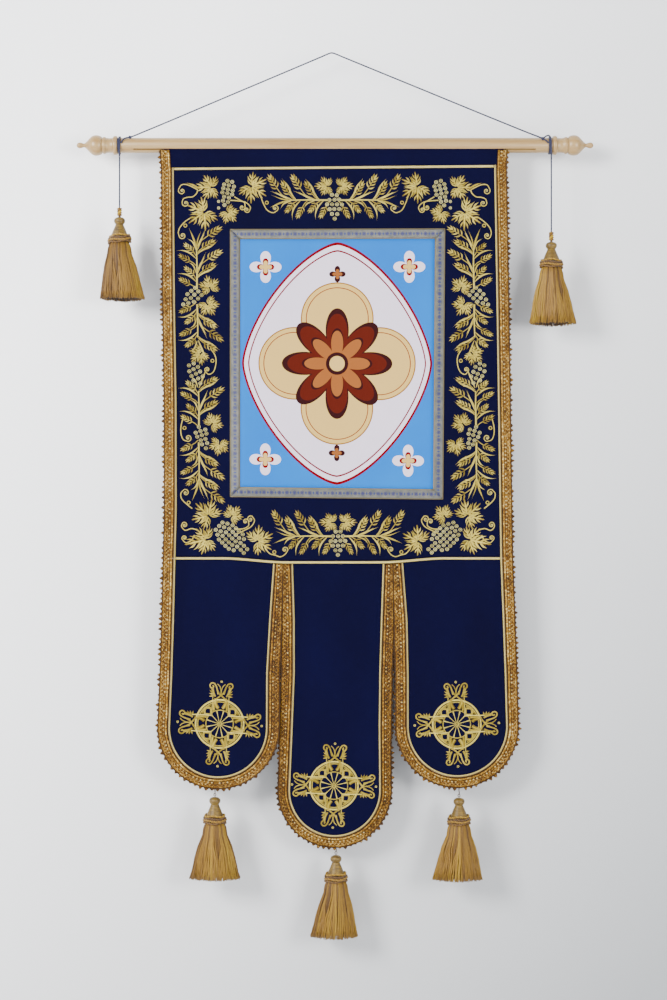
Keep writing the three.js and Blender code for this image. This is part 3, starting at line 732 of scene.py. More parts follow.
class Hem:
    """The line round one lappet where its velvet starts to show, from left top to right top"""

    def __init__(self, lappet, left_top, right_top):
        self.lappet = lappet
        self.tops = (left_top, right_top)
        middle = (GALLOON["near"] + GALLOON["valley"]) / 2
        self.left = int((left_top - lappet["z"]) / GALLOON["pair"] + 0.5)
        self.round = int(math.pi * (lappet["radius"] + middle) / GALLOON["pair"] + 0.5)
        self.right = int((right_top - lappet["z"]) / GALLOON["pair"] + 0.5)
        self.count = self.left + self.round + self.right

    def squeeze(self, reach, column, z):
        """A reach drawn in where the next lappet's trims lie close"""
        slits = {"left_in": "left", "mid_left": "left", "mid_right": "right", "right_in": "right"}
        if column not in slits:
            return reach
        room = np.abs(slit_middle(slits[column], z) - side_x(column, z)) + MERGE
        if self.lappet["name"] == "mid":
            foot = LAPPETS[slits[column]]["z"] - OPENING["below"]
            room = room + np.maximum(0, foot - z) * OPENING["share"]
        widest = MEETING - (MEETING - 1) * np.clip((room - CROWDED) / 4, 0, 1)
        band = np.clip((room - FREE_REACH) / (GALLOON["valley"] - FREE_REACH), 0, widest)
        picots = np.clip((room - band * (GALLOON["valley"] - FREE_REACH) - FREE_REACH)
                         / (GALLOON["tip"] - GALLOON["valley"]), 0, 1)
        drawn_in = FREE_REACH + (np.minimum(reach, GALLOON["valley"]) - FREE_REACH) * band
        drawn_in = drawn_in + np.maximum(0, reach - GALLOON["valley"]) * picots
        return np.where(reach < FREE_REACH, reach, drawn_in)

    def at(self, s, reach):
        lappet = self.lappet
        s, reach = np.broadcast_arrays(np.asarray(s, float), np.asarray(reach, float))
        z_left = self.tops[0] + (lappet["z"] - self.tops[0]) * s / self.left
        x_left = side_x(lappet["left"], z_left) - self.squeeze(reach, lappet["left"], z_left)
        z_right = lappet["z"] + (self.tops[1] - lappet["z"]) * (s - self.left - self.round) / self.right
        x_right = side_x(lappet["right"], z_right) + self.squeeze(reach, lappet["right"], z_right)
        turn = math.pi * (1 + (s - self.left) / self.round)
        level = np.full_like(s, lappet["z"])
        squeezed = np.where(np.cos(turn) < 0, self.squeeze(reach, lappet["left"], level),
                            self.squeeze(reach, lappet["right"], level))
        # The foot is drawn in only where it nears a side, which a high power of the cosine does
        out = lappet["radius"] + reach + (squeezed - reach) * np.abs(np.cos(turn)) ** 6
        x_round = lappet["x"] + out * np.cos(turn)
        z_round = lappet["z"] + out * np.sin(turn)
        on_left, on_right = s < self.left, s > self.left + self.round
        x = np.where(on_left, x_left, np.where(on_right, x_right, x_round))
        z = np.where(on_left, z_left, np.where(on_right, z_right, z_round))
        return x, z


def sweep_flat(pile, at, stations, section, tone=0.5, pitch=GALLOON["pair"]):
    """A closed section of (reach, lift) points, swept along a flat line"""
    stations = np.asarray(stations, float)
    section = np.asarray(section, float)
    if section.ndim == 2:
        section = np.broadcast_to(section, (len(stations),) + section.shape)
    sides = section.shape[1]
    s = np.repeat(stations, sides)
    reach, lift = section[..., 0].ravel(), section[..., 1].ravel()
    x, z = at(s, reach)
    pile.add(np.stack([x, lift, z], 1), ring_faces(len(stations), sides),
             np.stack([s * pitch, reach], 1), tone)


# %% [markdown]
# ## The gold trims
# The galloon is a woven gold lace: a plain tan edge, a mesh of lozenges with a bright bead in
# each, a ribbed band, and pointed loops, the picots. One picot's worth is small, so its parts are
# swept or copied along the hem. Threads stand proud of a darker ground, which makes the pattern.

# %% Galloon finish
# The lace is painted darker near the slits, a painted shade where the lappets meet; the slits are about this
# far from the middle, in metres
SLIT_SHADE_AT = 0.098


def lace_finish():
    made = Finish("gold lace", screen(160, 116, 62), 0.42, Metallic=0.35,
                  Specular_Tint=linear(255, 230, 190))
    calc = made.calc
    along, across = made.thread()
    weave = calc("MULTIPLY", made.wave(along, 1.7), made.wave(across, 1.4))
    shade = calc("ADD", made.vary(made.noise(330, 2), 1.9), made.vary(made.noise(40, 2), 0.7))
    shade = calc("ADD", shade, calc("MULTIPLY_ADD", weave, 0.2, -0.05))
    # Painted shade: within 50 mm of a slit the lace's tone is lowered, by up to a fifth
    away = calc("ABSOLUTE", calc("SUBTRACT", calc("ABSOLUTE", made.axes()[0]), SLIT_SHADE_AT))
    shade = calc("SUBTRACT", shade, calc("MAXIMUM", calc("MULTIPLY_ADD", away, -4.0, 0.2), 0.0))
    made.color(made.ramp(calc("ADD", made.tone(), shade), (0.0, screen(58, 30, 8)),
                         (0.28, screen(132, 84, 30)), (0.55, screen(182, 134, 62)),
                         (0.8, screen(224, 182, 110)), (1.0, screen(290, 264, 196))))
    made.bump(weave, 0.3, 0.8)
    return made


galloon_gold = lace_finish()

# %% Galloons
lace_rng = np.random.default_rng(3)
BEAD = {"reach": 11.3, "radius": 1.6, "pitch": 6.5}
EYES = {"reach": 15.9, "radius": 1.2}
PICOT = {"from": 20.6, "half": 0.15, "tip": 27.2, "spread": 4.6, "lift": 0.5}
MESH = {"reach": 15.9, "swing": 2.5, "pitch": 6.5, "radius": 0.55}
# Cords that run along the lace: how far each reaches, its radius and its tone
# The first and the last cord are dark lines of painted shade: in the groove beside the braid, and at the
# foot of the picots, where galloons meet in the slits; the last also browns the outer band
LACE_CORDS = ((5.0, 0.45, -0.1), (9.5, 0.4, 0.0), (13.3, 0.5, 0.2), (18.7, 0.6, 0.55), (21.0, 1.0, -0.25))
# Tones of the plate under all, the rib inside, the mesh of lozenges and the dark eyes in it, which are
# painted shade in the mesh's openings
LACE_TONES = {"plate": 0.34, "rib": 0.62, "mesh": 0.8, "eye": -0.25}


def copied(pile, source, places, tone):
    """Copies a small modelled shape: places are 3 by 4 arrays, a turn and size, then a position"""
    corners = np.array([vertex.co[:] for vertex in source.data.vertices])
    faces = [list(face.vertices) for face in source.data.polygons]
    for turn in places:
        about = corners @ turn[:, :3].T
        pile.add(about + turn[:, 3], faces, about[:, [0, 2]], tone)


# Takes a dome that was modelled upright to the flat pattern, where its top is its lift
STAND_UP = np.array([[1, 0, 0], [0, 0, 1], [0, 1, 0]], float)


def modelled_bead():
    """A low dome: half of a small sphere, closed underneath"""
    bpy.ops.object.select_all(action="DESELECT")
    bpy.ops.mesh.primitive_uv_sphere_add(segments=7, ring_count=4, radius=1.0, location=(0, 0, 0))
    bead = bpy.context.object
    edit_all()
    bpy.ops.mesh.bisect(plane_co=(0, 0, 0), plane_no=(0, 0, -1), clear_outer=True, use_fill=True)
    bpy.ops.object.mode_set(mode="OBJECT")
    return settle(bead, "bead_pattern")


def dots(at, count, length, reach, radius, lift):
    """Places of a row of domes along the hem"""
    s = (np.arange(count) + 0.5) / count * length
    x, z = at(s, reach)
    return [np.column_stack([STAND_UP * radius, (px, lift, pz)]) for px, pz in zip(x, z)]


def on_face(section):
    """A section with its lifts counted from the velvet's face"""
    return [(reach, FACE + lift) for reach, lift in section]


def galloon_piles(hem, pile, bead):
    at = hem.at
    fine = np.linspace(0, hem.count, hem.count * 8 + 1)
    edge = GALLOON["valley"] + 0.2 - 0.6 * np.cos(4 * math.pi * fine)
    plate = [on_face([(GALLOON["near"], 0), (GALLOON["near"], 0.9), (7.6, 1.0), (8.2, 0.6), (14.6, 0.6),
                      (15.2, 0.9), (e - 0.6, 0.9), (e, 0.4), (e, 0)]) for e in edge]
    sweep_flat(pile, at, fine, plate, LACE_TONES["plate"])
    round_it = [(math.cos(t), math.sin(t)) for t in np.arange(5) * 2 * math.pi / 5]
    along = np.linspace(0, hem.count, hem.count * 4 + 1)
    rib = on_face([(5.6, 0.7), (6.3, 1.3), (8.4, 1.3), (9.0, 0.7)])
    sweep_flat(pile, at, along, rib, LACE_TONES["rib"])
    for reach, thick, shade in LACE_CORDS:
        cord = [(reach - thick * c, FACE + 0.95 + thick * s) for c, s in round_it]
        sweep_flat(pile, at, along, cord, shade)
    steps = np.linspace(0, hem.count, hem.count * 16 + 1)
    phase = steps * GALLOON["pair"] / MESH["pitch"] * math.pi
    for way in (-1, 1):
        thick, high = MESH["radius"], FACE + 1.5 + 0.15 * way
        thread = [[(r - thick, FACE + 0.8), (r, high), (r + thick, FACE + 0.8)]
                  for r in MESH["reach"] + way * MESH["swing"] * np.sin(phase)]
        sweep_flat(pile, at, steps, thread, LACE_TONES["mesh"])
    share = np.linspace(-1, 1, 7)
    for i in range(hem.count * 3):
        middle = (i + 0.5) / 3 + 0.03 * (lace_rng.random() - 0.5)
        half = PICOT["half"] * (0.85 + 0.3 * lace_rng.random())
        tip = PICOT["tip"] - PICOT["spread"] * lace_rng.random()
        root = PICOT["from"] - 1
        out = PICOT["from"] + (tip - PICOT["from"]) * (1 - np.abs(share) ** 1.5)
        tooth = [[(root, FACE), (root, FACE + 0.8), (o, FACE + PICOT["lift"] + 0.4), (o + 0.1, FACE)]
                 for o in out]
        # Picots are darker than the plate: their tips are dark, and the low tone is also painted shade,
        # which merges to a dark line where galloons meet in the slits
        sweep_flat(pile, at, middle + half * share, tooth, 0.18 + 0.3 * lace_rng.random())
        crest = np.stack(at(middle + half * share * 0.8, out - 0.4), 1)
        line = np.stack([crest[:, 0], np.full(len(share), FACE + 0.95), crest[:, 1]], 1)
        tube(pile, line, 0.5, 4, 0.5 * lace_rng.random() - 0.1, flat=True)
    count = int(hem.count * GALLOON["pair"] / BEAD["pitch"])
    for place in dots(at, count, hem.count, BEAD["reach"], BEAD["radius"], FACE + 0.6):
        copied(pile, bead, [place], 0.55 + 0.75 * lace_rng.random())
    # The dark eyes are domes of painted shade in the openings of the mesh
    for place in dots(at, count, hem.count, EYES["reach"], EYES["radius"], FACE + 0.25):
        copied(pile, bead, [place], LACE_TONES["eye"])


UNDER_BRAID = 2.9
bead = modelled_bead()
for name, lappet in LAPPETS.items():
    tops = {}
    for side, way in (("left", -1), ("right", 1)):
        x = side_x(lappet[side], SEAM["z"]) + way * GALLOON["near"]
        tops[side] = MOUTH_Z - 2 * CLEAR if name == side else seam_z(x) - UNDER_BRAID
    pile = Pile()
    hem = Hem(lappet, tops["left"], tops["right"])
    galloon_piles(hem, pile, bead)
    pile.piece(f"gold_lace_{name}", galloon_gold, "galloon", [f"galloon_{name}"], hung_on(lappet))
    print("lace round lappet", name, "is", round(hem.count * GALLOON["pair"]), "mm long")
bpy.data.objects.remove(bead)

# %% [markdown]
# ## The narrow braid
# Inside the galloon lies a pale plaited braid, half round and about 4 mm wide. The same braid
# goes across the top and covers the seam above the lappets. Its plait is too fine for the eye at
# arm's length, so its section is a real half round and the plait is bump.

# %% Narrow braids
BRAID_WIDE = 4.2
BRAID_SECTION = on_face([(0.0, 0), (0.15, 0.9), (0.9, 1.7), (2.1, 2.0), (3.3, 1.7), (4.05, 0.9), (4.2, 0)])


def braid_finish():
    """Bright plait; the braids along the hem, which have a high tone, are duller on their outer side and
    darkest at its outer edge, a painted shade for the gap beside the galloon
    """
    made = Finish("pale gold braid", screen(226, 208, 152), 0.34, Metallic=0.35)
    calc = made.calc
    along, across = made.thread()
    bend = calc("ABSOLUTE", calc("SUBTRACT", across, BRAID_WIDE / 2))
    plait = made.wave(calc("ADD", along, bend), 1.9)
    gold = made.ramp(made.noise(60, 3), (0.3, screen(232, 204, 118)), (0.7, screen(262, 236, 152)))
    bright = made.mix(calc("MULTIPLY", plait, 0.6), gold, screen(336, 320, 236))
    outer = calc("MULTIPLY", calc("GREATER_THAN", made.tone(), 0.7), calc("GREATER_THAN", across, 1.9))
    # Painted shade: the outer side darkens to its outer edge, by the gap beside the galloon
    dull_side_and_shade = made.ramp(calc("DIVIDE", across, BRAID_WIDE), (0.45, screen(112, 86, 50)),
                     (0.6, screen(196, 166, 112)), (0.74, screen(176, 146, 96)),
                     (0.85, screen(104, 72, 40)))
    made.color(made.mix(outer, bright, dull_side_and_shade))
    made.bump(plait, 0.5, 0.8)
    return made


braid_gold = braid_finish()
for name, lappet in LAPPETS.items():
    tops = {}
    for side in ("left", "right"):
        x = side_x(lappet[side], SEAM["z"])
        tops[side] = top_line_z(x) + BRAID_WIDE / 2 if name == side else seam_z(x) - UNDER_BRAID
    hem = Hem(lappet, tops["left"], tops["right"])
    pile = Pile()
    sweep_flat(pile, hem.at, np.linspace(0, hem.count, hem.count * 6 + 1), BRAID_SECTION, 1.0)
    pile.piece(f"narrow_braid_{name}", braid_gold, "narrow_braid", [f"braid_{name}"], hung_on(lappet))


def across_line(line_z):
    """Places of a braid that runs straight across the field"""
    left, right = side_x("left_out", line_z(0.0)) + CLEAR, side_x("right_out", line_z(0.0)) - CLEAR

    def at(s, reach):
        x = left + (right - left) * np.asarray(s)
        return x, line_z(x) - BRAID_WIDE / 2 + np.asarray(reach)

    return at, right - left


for name, line_z in (("top_braid", top_line_z), ("seam_braid", seam_z)):
    at, width = across_line(line_z)
    pile = Pile()
    sweep_flat(pile, at, np.linspace(0, 1, 141), BRAID_SECTION[::-1], pitch=width)
    pile.piece(f"{name}_line", braid_gold, "narrow_braid", [name], hung)

# %% [markdown]
# ## The printed panel
# A print on a plain weave fills the middle, in a woven silver ribbon with mitred corners. The print
# is a pattern of our own in sky blue, cream and auburn: a pointed oval, a quatrefoil and a rosette. It
# is drawn by formulas on the panel's own millimetres, so its edges stay sharp at any distance.

# %% Print finish
PANEL = {"width": 365.0, "height": 458.0, "thick": 1.0, "ribbon": 17.5}
PANEL_CORNERS = {"top_left": (-173.1, -301.9), "top_right": (192.8, -300.9),
                 "foot_left": (-173.1, -757.5), "foot_right": (189.4, -761.8)}


def print_finish():
    made = Finish("printed cloth", screen(84, 166, 218), 0.8, Specular_IOR_Level=0.05)
    calc = made.calc
    u, v = made.thread()
    x, y = calc("SUBTRACT", u, PANEL["width"] / 2), calc("SUBTRACT", v, PANEL["height"] / 2)
    ax, ay = calc("ABSOLUTE", x), calc("ABSOLUTE", y)

    def round_at(cx, cy):
        dx, dy = calc("SUBTRACT", ax, cx), calc("SUBTRACT", ay, cy)
        return calc("SQRT", calc("ADD", calc("MULTIPLY", dx, dx), calc("MULTIPLY", dy, dy))), dx, dy

    def inside(value, edge):
        return calc("LESS_THAN", value, edge)

    def band(value, low, high):
        return calc("MULTIPLY", calc("GREATER_THAN", value, low), calc("LESS_THAN", value, high))

    def petals(radius, dx, dy, count, least, most):
        turn = calc("ABSOLUTE", calc("COSINE", calc("MULTIPLY", calc("ARCTAN2", dy, dx), count / 2)))
        return calc("DIVIDE", radius, calc("MULTIPLY_ADD", turn, most - least, least))

    oval = calc("ADD", calc("POWER", calc("DIVIDE", ax, 162), 1.5),
                calc("POWER", calc("DIVIDE", ay, 206), 1.5))
    side_lobe, _, _ = round_at(72, 0)
    top_lobe, _, _ = round_at(0, 76)
    foil = calc("MINIMUM", side_lobe, top_lobe)
    centre, _, _ = round_at(0, 0)
    rosette = petals(centre, x, y, 8, 50, 94)
    inner = petals(centre, x, y, 8, 24, 60)
    corner, cx, cy = round_at(122, 164)
    fleuron = petals(corner, cx, cy, 4, 9, 27)
    tip, tx, ty = round_at(0, 152)
    drop = petals(tip, tx, ty, 4, 5, 14)
    white, cream = screen(312, 298, 316), screen(286, 244, 168)
    auburn, tan, red = screen(64, 27, 29), screen(198, 128, 84), screen(150, 15, 38)
    layers = [
        (inside(oval, 1.0), red), (inside(oval, 0.965), white), (band(oval, 0.885, 0.905), red),
        (inside(foil, 62), screen(190, 136, 54)), (inside(foil, 60), cream), (band(foil, 52, 53.4), red),
        (inside(rosette, 1.0), auburn), (inside(rosette, 0.9), screen(112, 44, 34)),
        (inside(inner, 1.0), auburn), (inside(inner, 0.93), tan), (inside(centre, 19), auburn),
        (inside(centre, 13), cream), (inside(fleuron, 1.0), white), (inside(fleuron, 0.55), red),
        (inside(fleuron, 0.4), cream), (inside(drop, 1.0), auburn), (inside(drop, 0.6), tan),
    ]
    color = made.ramp(made.noise(6, 3), (0.3, screen(0, 150, 256)), (0.7, screen(8, 162, 264)))
    for mask, layer in layers:
        color = made.mix(mask, color, layer)
    weave = calc("MULTIPLY", made.wave(u, 0.9), made.wave(v, 0.9))
    made.color(made.mix(calc("MULTIPLY", weave, 0.12), color, screen(60, 50, 60)))
    made.bump(weave, 0.12, 0.5)
    return made


# %% Ribbon finish
def ribbon_finish():
    made = Finish("silver ribbon", screen(150, 155, 162), 0.42, Metallic=0.25)
    calc = made.calc
    pitch = 13.0
    u, v = made.thread()
    b = calc("SUBTRACT", v, PANEL["ribbon"] / 2)
    a = calc("SUBTRACT", calc("MODULO", calc("ADD", u, 100 * pitch), pitch), pitch / 2)
    far = calc("SQRT", calc("ADD", calc("MULTIPLY", a, a), calc("MULTIPLY", b, b)))
    turn = calc("ABSOLUTE", calc("COSINE", calc("MULTIPLY", calc("ARCTAN2", b, a), 4)))
    flower = calc("LESS_THAN", far, calc("MULTIPLY_ADD", turn, 3.0, 0.9))
    between = calc("SUBTRACT", pitch / 2, calc("ABSOLUTE", a))
    off = calc("ABSOLUTE", b)
    diamond = calc("LESS_THAN", calc("ADD", between, calc("MULTIPLY", off, 0.6)), 1.7)
    line = calc("GREATER_THAN", off, 6.3)
    rim = calc("GREATER_THAN", off, 7.1)
    twill = made.wave(calc("ADD", u, v), 0.8)
    ground = made.ramp(made.noise(120, 3), (0.3, screen(108, 111, 112)), (0.7, screen(152, 150, 138)))
    color = made.mix(flower, ground, screen(34, 40, 124))
    color = made.mix(diamond, color, screen(30, 62, 140))
    color = made.mix(calc("MULTIPLY", line, 0.7), color, screen(104, 102, 96))
    color = made.mix(rim, color, screen(150, 136, 98))
    made.color(made.mix(calc("MULTIPLY", twill, 0.1), color, screen(200, 198, 186)))
    made.bump(twill, 0.2, 0.6)
    return made


# %% The panel and its ribbon
def panel_point(across, down):
    """A place on the panel, in millimetres from its outer top left corner"""
    u = (np.asarray(across, float) / PANEL["width"])[..., None]
    v = (np.asarray(down, float) / PANEL["height"])[..., None]
    top = np.array(PANEL_CORNERS["top_left"]) * (1 - u) + np.array(PANEL_CORNERS["top_right"]) * u
    foot = np.array(PANEL_CORNERS["foot_left"]) * (1 - u) + np.array(PANEL_CORNERS["foot_right"]) * u
    return top * (1 - v) + foot * v


def panel_sheet(name, across, down, uvs, finish, slot, nodes):
    """A thin sheet on the panel from grids of its own millimetres"""
    pile = Pile()
    sheet_of(pile, panel_point(across, down), FACE, PANEL["thick"])
    flat = np.stack(uvs, -1).reshape(-1, 2)
    pile.uvs = [np.concatenate([flat, flat])]
    return pile.piece(name, finish, slot, nodes, hung)


printed = print_finish()
inset = PANEL["ribbon"] + 0.2
down, across = np.meshgrid(np.linspace(inset, PANEL["height"] - inset, 54),
                           np.linspace(inset, PANEL["width"] - inset, 42), indexing="ij")
panel_piece = panel_sheet("printed_panel", across, down, (across, down), printed, "printed_panel",
                          ["icon_panel"])

ribbon = ribbon_finish()
STRIPS = {
    "top": lambda a, d: (a, d), "bottom": lambda a, d: (a, PANEL["height"] - d),
    "left": lambda a, d: (d, a), "right": lambda a, d: (PANEL["width"] - d, a),
}
for side, strip in STRIPS.items():
    full = PANEL["width"] if side in ("top", "bottom") else PANEL["height"]
    deep, share = np.meshgrid(np.linspace(0, PANEL["ribbon"], 5), np.linspace(0, 1, 58), indexing="ij")
    along = deep + 0.15 + (full - 2 * deep - 0.3) * share
    grid = strip(along, deep)
    if side in ("bottom", "left"):
        grid = [part[:, ::-1] for part in grid]
        along, deep = along[:, ::-1], deep[:, ::-1]
    panel_sheet(f"silver_ribbon_{side}", *grid, (along, deep), ribbon, "woven_ribbon",
                [f"icon_ribbon_{side}"])

# %% [markdown]
# ## The embroidery
# The border is satin stitch in gold thread over padding: every leaf tooth, grain of wheat, stem and
# tendril is a low dome with threads that slant from its middle. They could be painted with a shader,
# but real padding catches the light, so each is a small swept dome. One function makes them all.

# %% Embroidery finishes
def thread_finish(name, dark, middle, light, metallic):
    made = Finish(name, middle, 0.36, Metallic=metallic, Specular_Tint=linear(255, 240, 205))
    calc = made.calc
    along, across = made.thread()
    off = calc("ABSOLUTE", across)
    stitch = made.wave(calc("ADD", along, off), 0.75)
    value = calc("ADD", calc("ADD", made.vary(stitch, 0.3), made.tone()), made.vary(made.noise(220, 2), 0.3))
    # Painted shade: a dome darkens beyond a millimetre from its middle line, toward the edges where it falls
    # to the cloth
    rim = calc("MAXIMUM", calc("SUBTRACT", off, 1.0), 0.0)
    value = calc("SUBTRACT", value, calc("MINIMUM", calc("MULTIPLY", rim, 0.25), 0.22))
    made.color(made.ramp(value, (0.1, dark), (0.5, middle), (0.9, light)))
    made.bump(stitch, 0.3, 0.8)
    return made


gold_thread = thread_finish("gold satin stitch", screen(104, 76, 24), screen(228, 200, 100),
                            screen(322, 298, 188), 0.3)
pale_thread = thread_finish("pale satin stitch", screen(112, 106, 60), screen(240, 226, 146),
                            screen(330, 320, 240), 0.25)

# %% Satin stitch as swept domes
SATIN_DOME = np.array([(-1.0, 0.0), (-0.62, 0.72), (0.0, 1.0), (0.62, 0.72), (1.0, 0.0)])
GROUND = VELVET / 2 - 0.1
# A dome's height grows with its half width, up to the padding's full height
PADDING = {"least": 0.45, "grow": 0.42, "full": 1.35}


def resampled(line, count):
    along = lengths_along(line)
    marks = np.linspace(0, along[-1], count)
    return np.stack([np.interp(marks, along, column) for column in line.T], 1)


class Work:
    """Embroidery on one part of the cloth; place takes its own flat places to the cloth's"""

    def __init__(self, place):
        self.pile, self.grapes, self.place = Pile(), [], place

    def satin(self, line, half, tone, rise=1.0):
        """A dome along a line, half as wide at each of its points as half says"""
        line = self.place(np.asarray(line, float))
        half = np.broadcast_to(half, len(line)).astype(float)
        way = directions(line)
        side = np.stack([way[:, 1], -way[:, 0]], 1)
        high = np.minimum(PADDING["least"] + PADDING["grow"] * half, PADDING["full"]) * rise
        flat = line[:, None] + side[:, None] * (half[:, None, None] * SATIN_DOME[None, :, :1])
        lift = GROUND + high[:, None] * SATIN_DOME[None, :, 1]
        points = np.stack([flat[..., 0], lift, flat[..., 1]], -1).reshape(-1, 3)
        along = np.repeat(lengths_along(line), len(SATIN_DOME))
        across = (half[:, None] * SATIN_DOME[None, :, 0]).ravel()
        self.pile.add(points, ring_faces(len(line), len(SATIN_DOME)), np.stack([along, across], 1), tone)

    def blade(self, points, wide, tone, stations=8, blunt=0.3, rise=1.0):
        """A leaf blade, stem or grain: widest at its middle, pointed at its end"""
        line = resampled(smooth_line(points, 1.5) if len(points) > 2 else np.array(points, float), stations)
        share = np.linspace(0, 1, stations)
        swell = blunt + (1 - blunt) * np.sin(math.pi * np.clip(share * 1.05, 0, 1)) ** 0.8
        taper = np.clip((1 - share) / 0.45, 0.03, 1)
        self.satin(line, wide * np.minimum(swell, 1) * taper, tone, rise)

    def grape(self, at, size, tone):
        x, z = self.place(np.array([at], float))[0]
        self.grapes.append((x, z, size, tone))


# %% [markdown]
# ## Motifs of the border
# Four motifs make the whole border: a vine leaf of five lobes with pointed teeth, an ear of wheat,
# a bunch of grapes in staggered rows and a tendril that curls up. Each is a function with a place,
# a size and a direction, so a leaf is drawn once and set down wherever the border needs one.

# %% Vine leaf, ear, bunch and tendril
rng = np.random.default_rng(7)
# Leaves are stitched a little larger than the size in their list
LEAF_SPREAD = 1.08
LOBES = ((0, 1.0), (57, 0.95), (-57, 0.95), (113, 0.8), (-113, 0.8))
LOBE_REACH = np.array([0.06, 0.2, 0.34, 0.46, 0.48, 0.62, 0.64, 0.77, 0.79, 0.9, 1.0])
LOBE_HALF = np.array([0.02, 0.05, 0.07, 0.11, 0.08, 0.13, 0.07, 0.11, 0.04, 0.06, 0.008])
TEETH = ((0.5, 0.88, 0.2), (0.28, 0.7, 0.32), (0.1, 0.48, 0.3))
GRAINS = (0.0, 0.23, 0.45, 0.64)
GRAPE = {"apart": 8.4, "size": 3.3, "astray": 0.8}
TENDRIL_HALF = 0.95
TENDRIL_TURNS = 1.15


def toward(degrees):
    return np.array([math.cos(math.radians(degrees)), math.sin(math.radians(degrees))])


def leaf(work, out, z, size, tip, long_tip):
    """A vine leaf; tip says where its middle lobe points: 0 is out to the edge and 90 is up"""
    centre = np.array([out, z], float)
    for k, (angle, share) in enumerate(LOBES):
        reach = LEAF_SPREAD * size * share * (long_tip if k == 0 else 1)
        way = toward(tip + angle) * reach
        across = np.array([-way[1], way[0]])
        tone = 0.42 + 0.2 * rng.random()
        work.satin(centre + LOBE_REACH[:, None] * way, LOBE_HALF * reach, tone - 0.24, 0.5)
        for root, far, wide in TEETH:
            for side in (-1, 1):
                end = centre + way * (far + 0.03 * side) + across * wide * side
                start = centre + way * root
                bend = start + (end - start) * 0.5 + across * 0.05 * side - way * 0.02
                work.blade([start, bend, end], reach * 0.05, tone + 0.4 * rng.random(), 6, 0.6)
        vein = [centre + way * 0.08, centre + way * 0.5, centre + way]
        work.blade(vein, reach * 0.05, tone + 0.3, 8, 0.5, 1.15)


def ear(work, base, tip):
    """An ear of wheat: a grain at its end and three pairs that stand away from its stem"""
    base, way = np.array(base, float), np.array(tip, float) - np.array(base, float)
    across = np.array([-way[1], way[0]])
    length = np.linalg.norm(way)
    tone = 0.38 + 0.25 * rng.random()
    work.blade([base, base + way * 0.8], 0.8, tone, 5)
    for root in GRAINS:
        for side in (-1, 1):
            start = base + way * (root + 0.03 * side)
            end = start + way * 0.31 + across * (0.29 - 0.2 * root) * side
            bend = start + way * 0.13 + across * (0.19 - 0.13 * root) * side
            work.blade([start, bend, end], length * 0.05, tone + 0.36 * rng.random() - 0.12, 6, 0.4)
    work.blade([base + way * 0.62, base + way * 1.04], length * 0.055, tone + 0.2, 6, 0.4)


def bunch(work, start, direction, rows, step):
    """Grapes in rows across the direction in which the bunch hangs"""
    way = toward(direction)
    across = np.array([-way[1], way[0]])
    for r, count in enumerate(rows):
        for i in range(count):
            off = (i - (count - 1) / 2) * GRAPE["apart"] + GRAPE["astray"] * (rng.random() - 0.5)
            down = r * step + GRAPE["astray"] * (rng.random() - 0.5)
            at = np.array(start, float) + way * down + across * off
            work.grape(at, GRAPE["size"], 0.66 + 0.34 * rng.random())


def circle(radius, count):
    turn = np.linspace(0, 2 * math.pi, count + 1)
    return radius * np.stack([np.cos(turn), np.sin(turn)], 1)


def tendril(work, points, curl, loop):
    """A thin line that ends in a spiral round the curl's middle, with a small loop on the way"""
    line = smooth_line(points, 1.6)
    curl = np.array(curl, float)
    arm = line[-1] - curl
    last = line[-1] - line[-2]
    sense = 1 if arm[0] * last[1] - arm[1] * last[0] > 0 else -1
    share = np.linspace(0, 1, 22)[1:]
    turn = math.atan2(arm[1], arm[0]) + sense * share * 2 * math.pi * TENDRIL_TURNS
    far = np.linalg.norm(arm) * (1 - 0.78 * share)
    spiral = curl + np.stack([far * np.cos(turn), far * np.sin(turn)], 1)
    line = np.concatenate([line, spiral])
    work.satin(line, np.linspace(TENDRIL_HALF * 1.1, TENDRIL_HALF * 0.8, len(line)), 0.78, 0.8)
    work.grape(curl, 1.9, 0.75)
    if loop:
        work.satin(np.array(loop, float) + circle(2.6, 12), 0.85, 0.66, 0.8)


# %% [markdown]
# ## Sprays of wheat
# Between the vine leaves stand stalks of wheat. Two nodes on each stalk bear two long blades, two
# short ones and four ears, and the same stalk, turned and mirrored, fills the sides, the top and
# the foot. Its pieces are written across and along the stalk, from the node that they grow from.

# %% A stalk of wheat
NODE_PITCH = 39.5
LONG_BLADES = (
    ([(1, 2), (5, 6), (13, 11), (25, 16), (37, 26)], 1.75),
    ([(-1, -5), (-6, 0), (-14, 6), (-24, 9), (-34, 8.5)], 1.6),
)
SHORT_BLADES = (([(1, 9), (7, 24), (16, 46)], 1.5), ([(-1, 10), (-6, 23), (-15, 29)], 1.3),
                ([(2, 17), (8, 28), (15, 38)], 1.1))
EARS = (((11, 14), (33, 27)), ((20.5, 34.5), (44, 49.5)), ((-5, 7), (-22, 21)), ((-12, -8.5), (-31.5, 1.5)))
EAR_STALKS = ([(1, 5), (6, 10), (11, 14)], [(2, 16), (10, 27), (20.5, 34.5)], [(0, -1), (-3, 3), (-5, 7)],
              [(-1, -17), (-6, -12), (-12, -8.5)])
CROWN_BLADES = (([(0, 10), (-3, 24), (-12.5, 48)], 1.7), ([(0, 8), (2, 26), (9, 44)], 1.1))


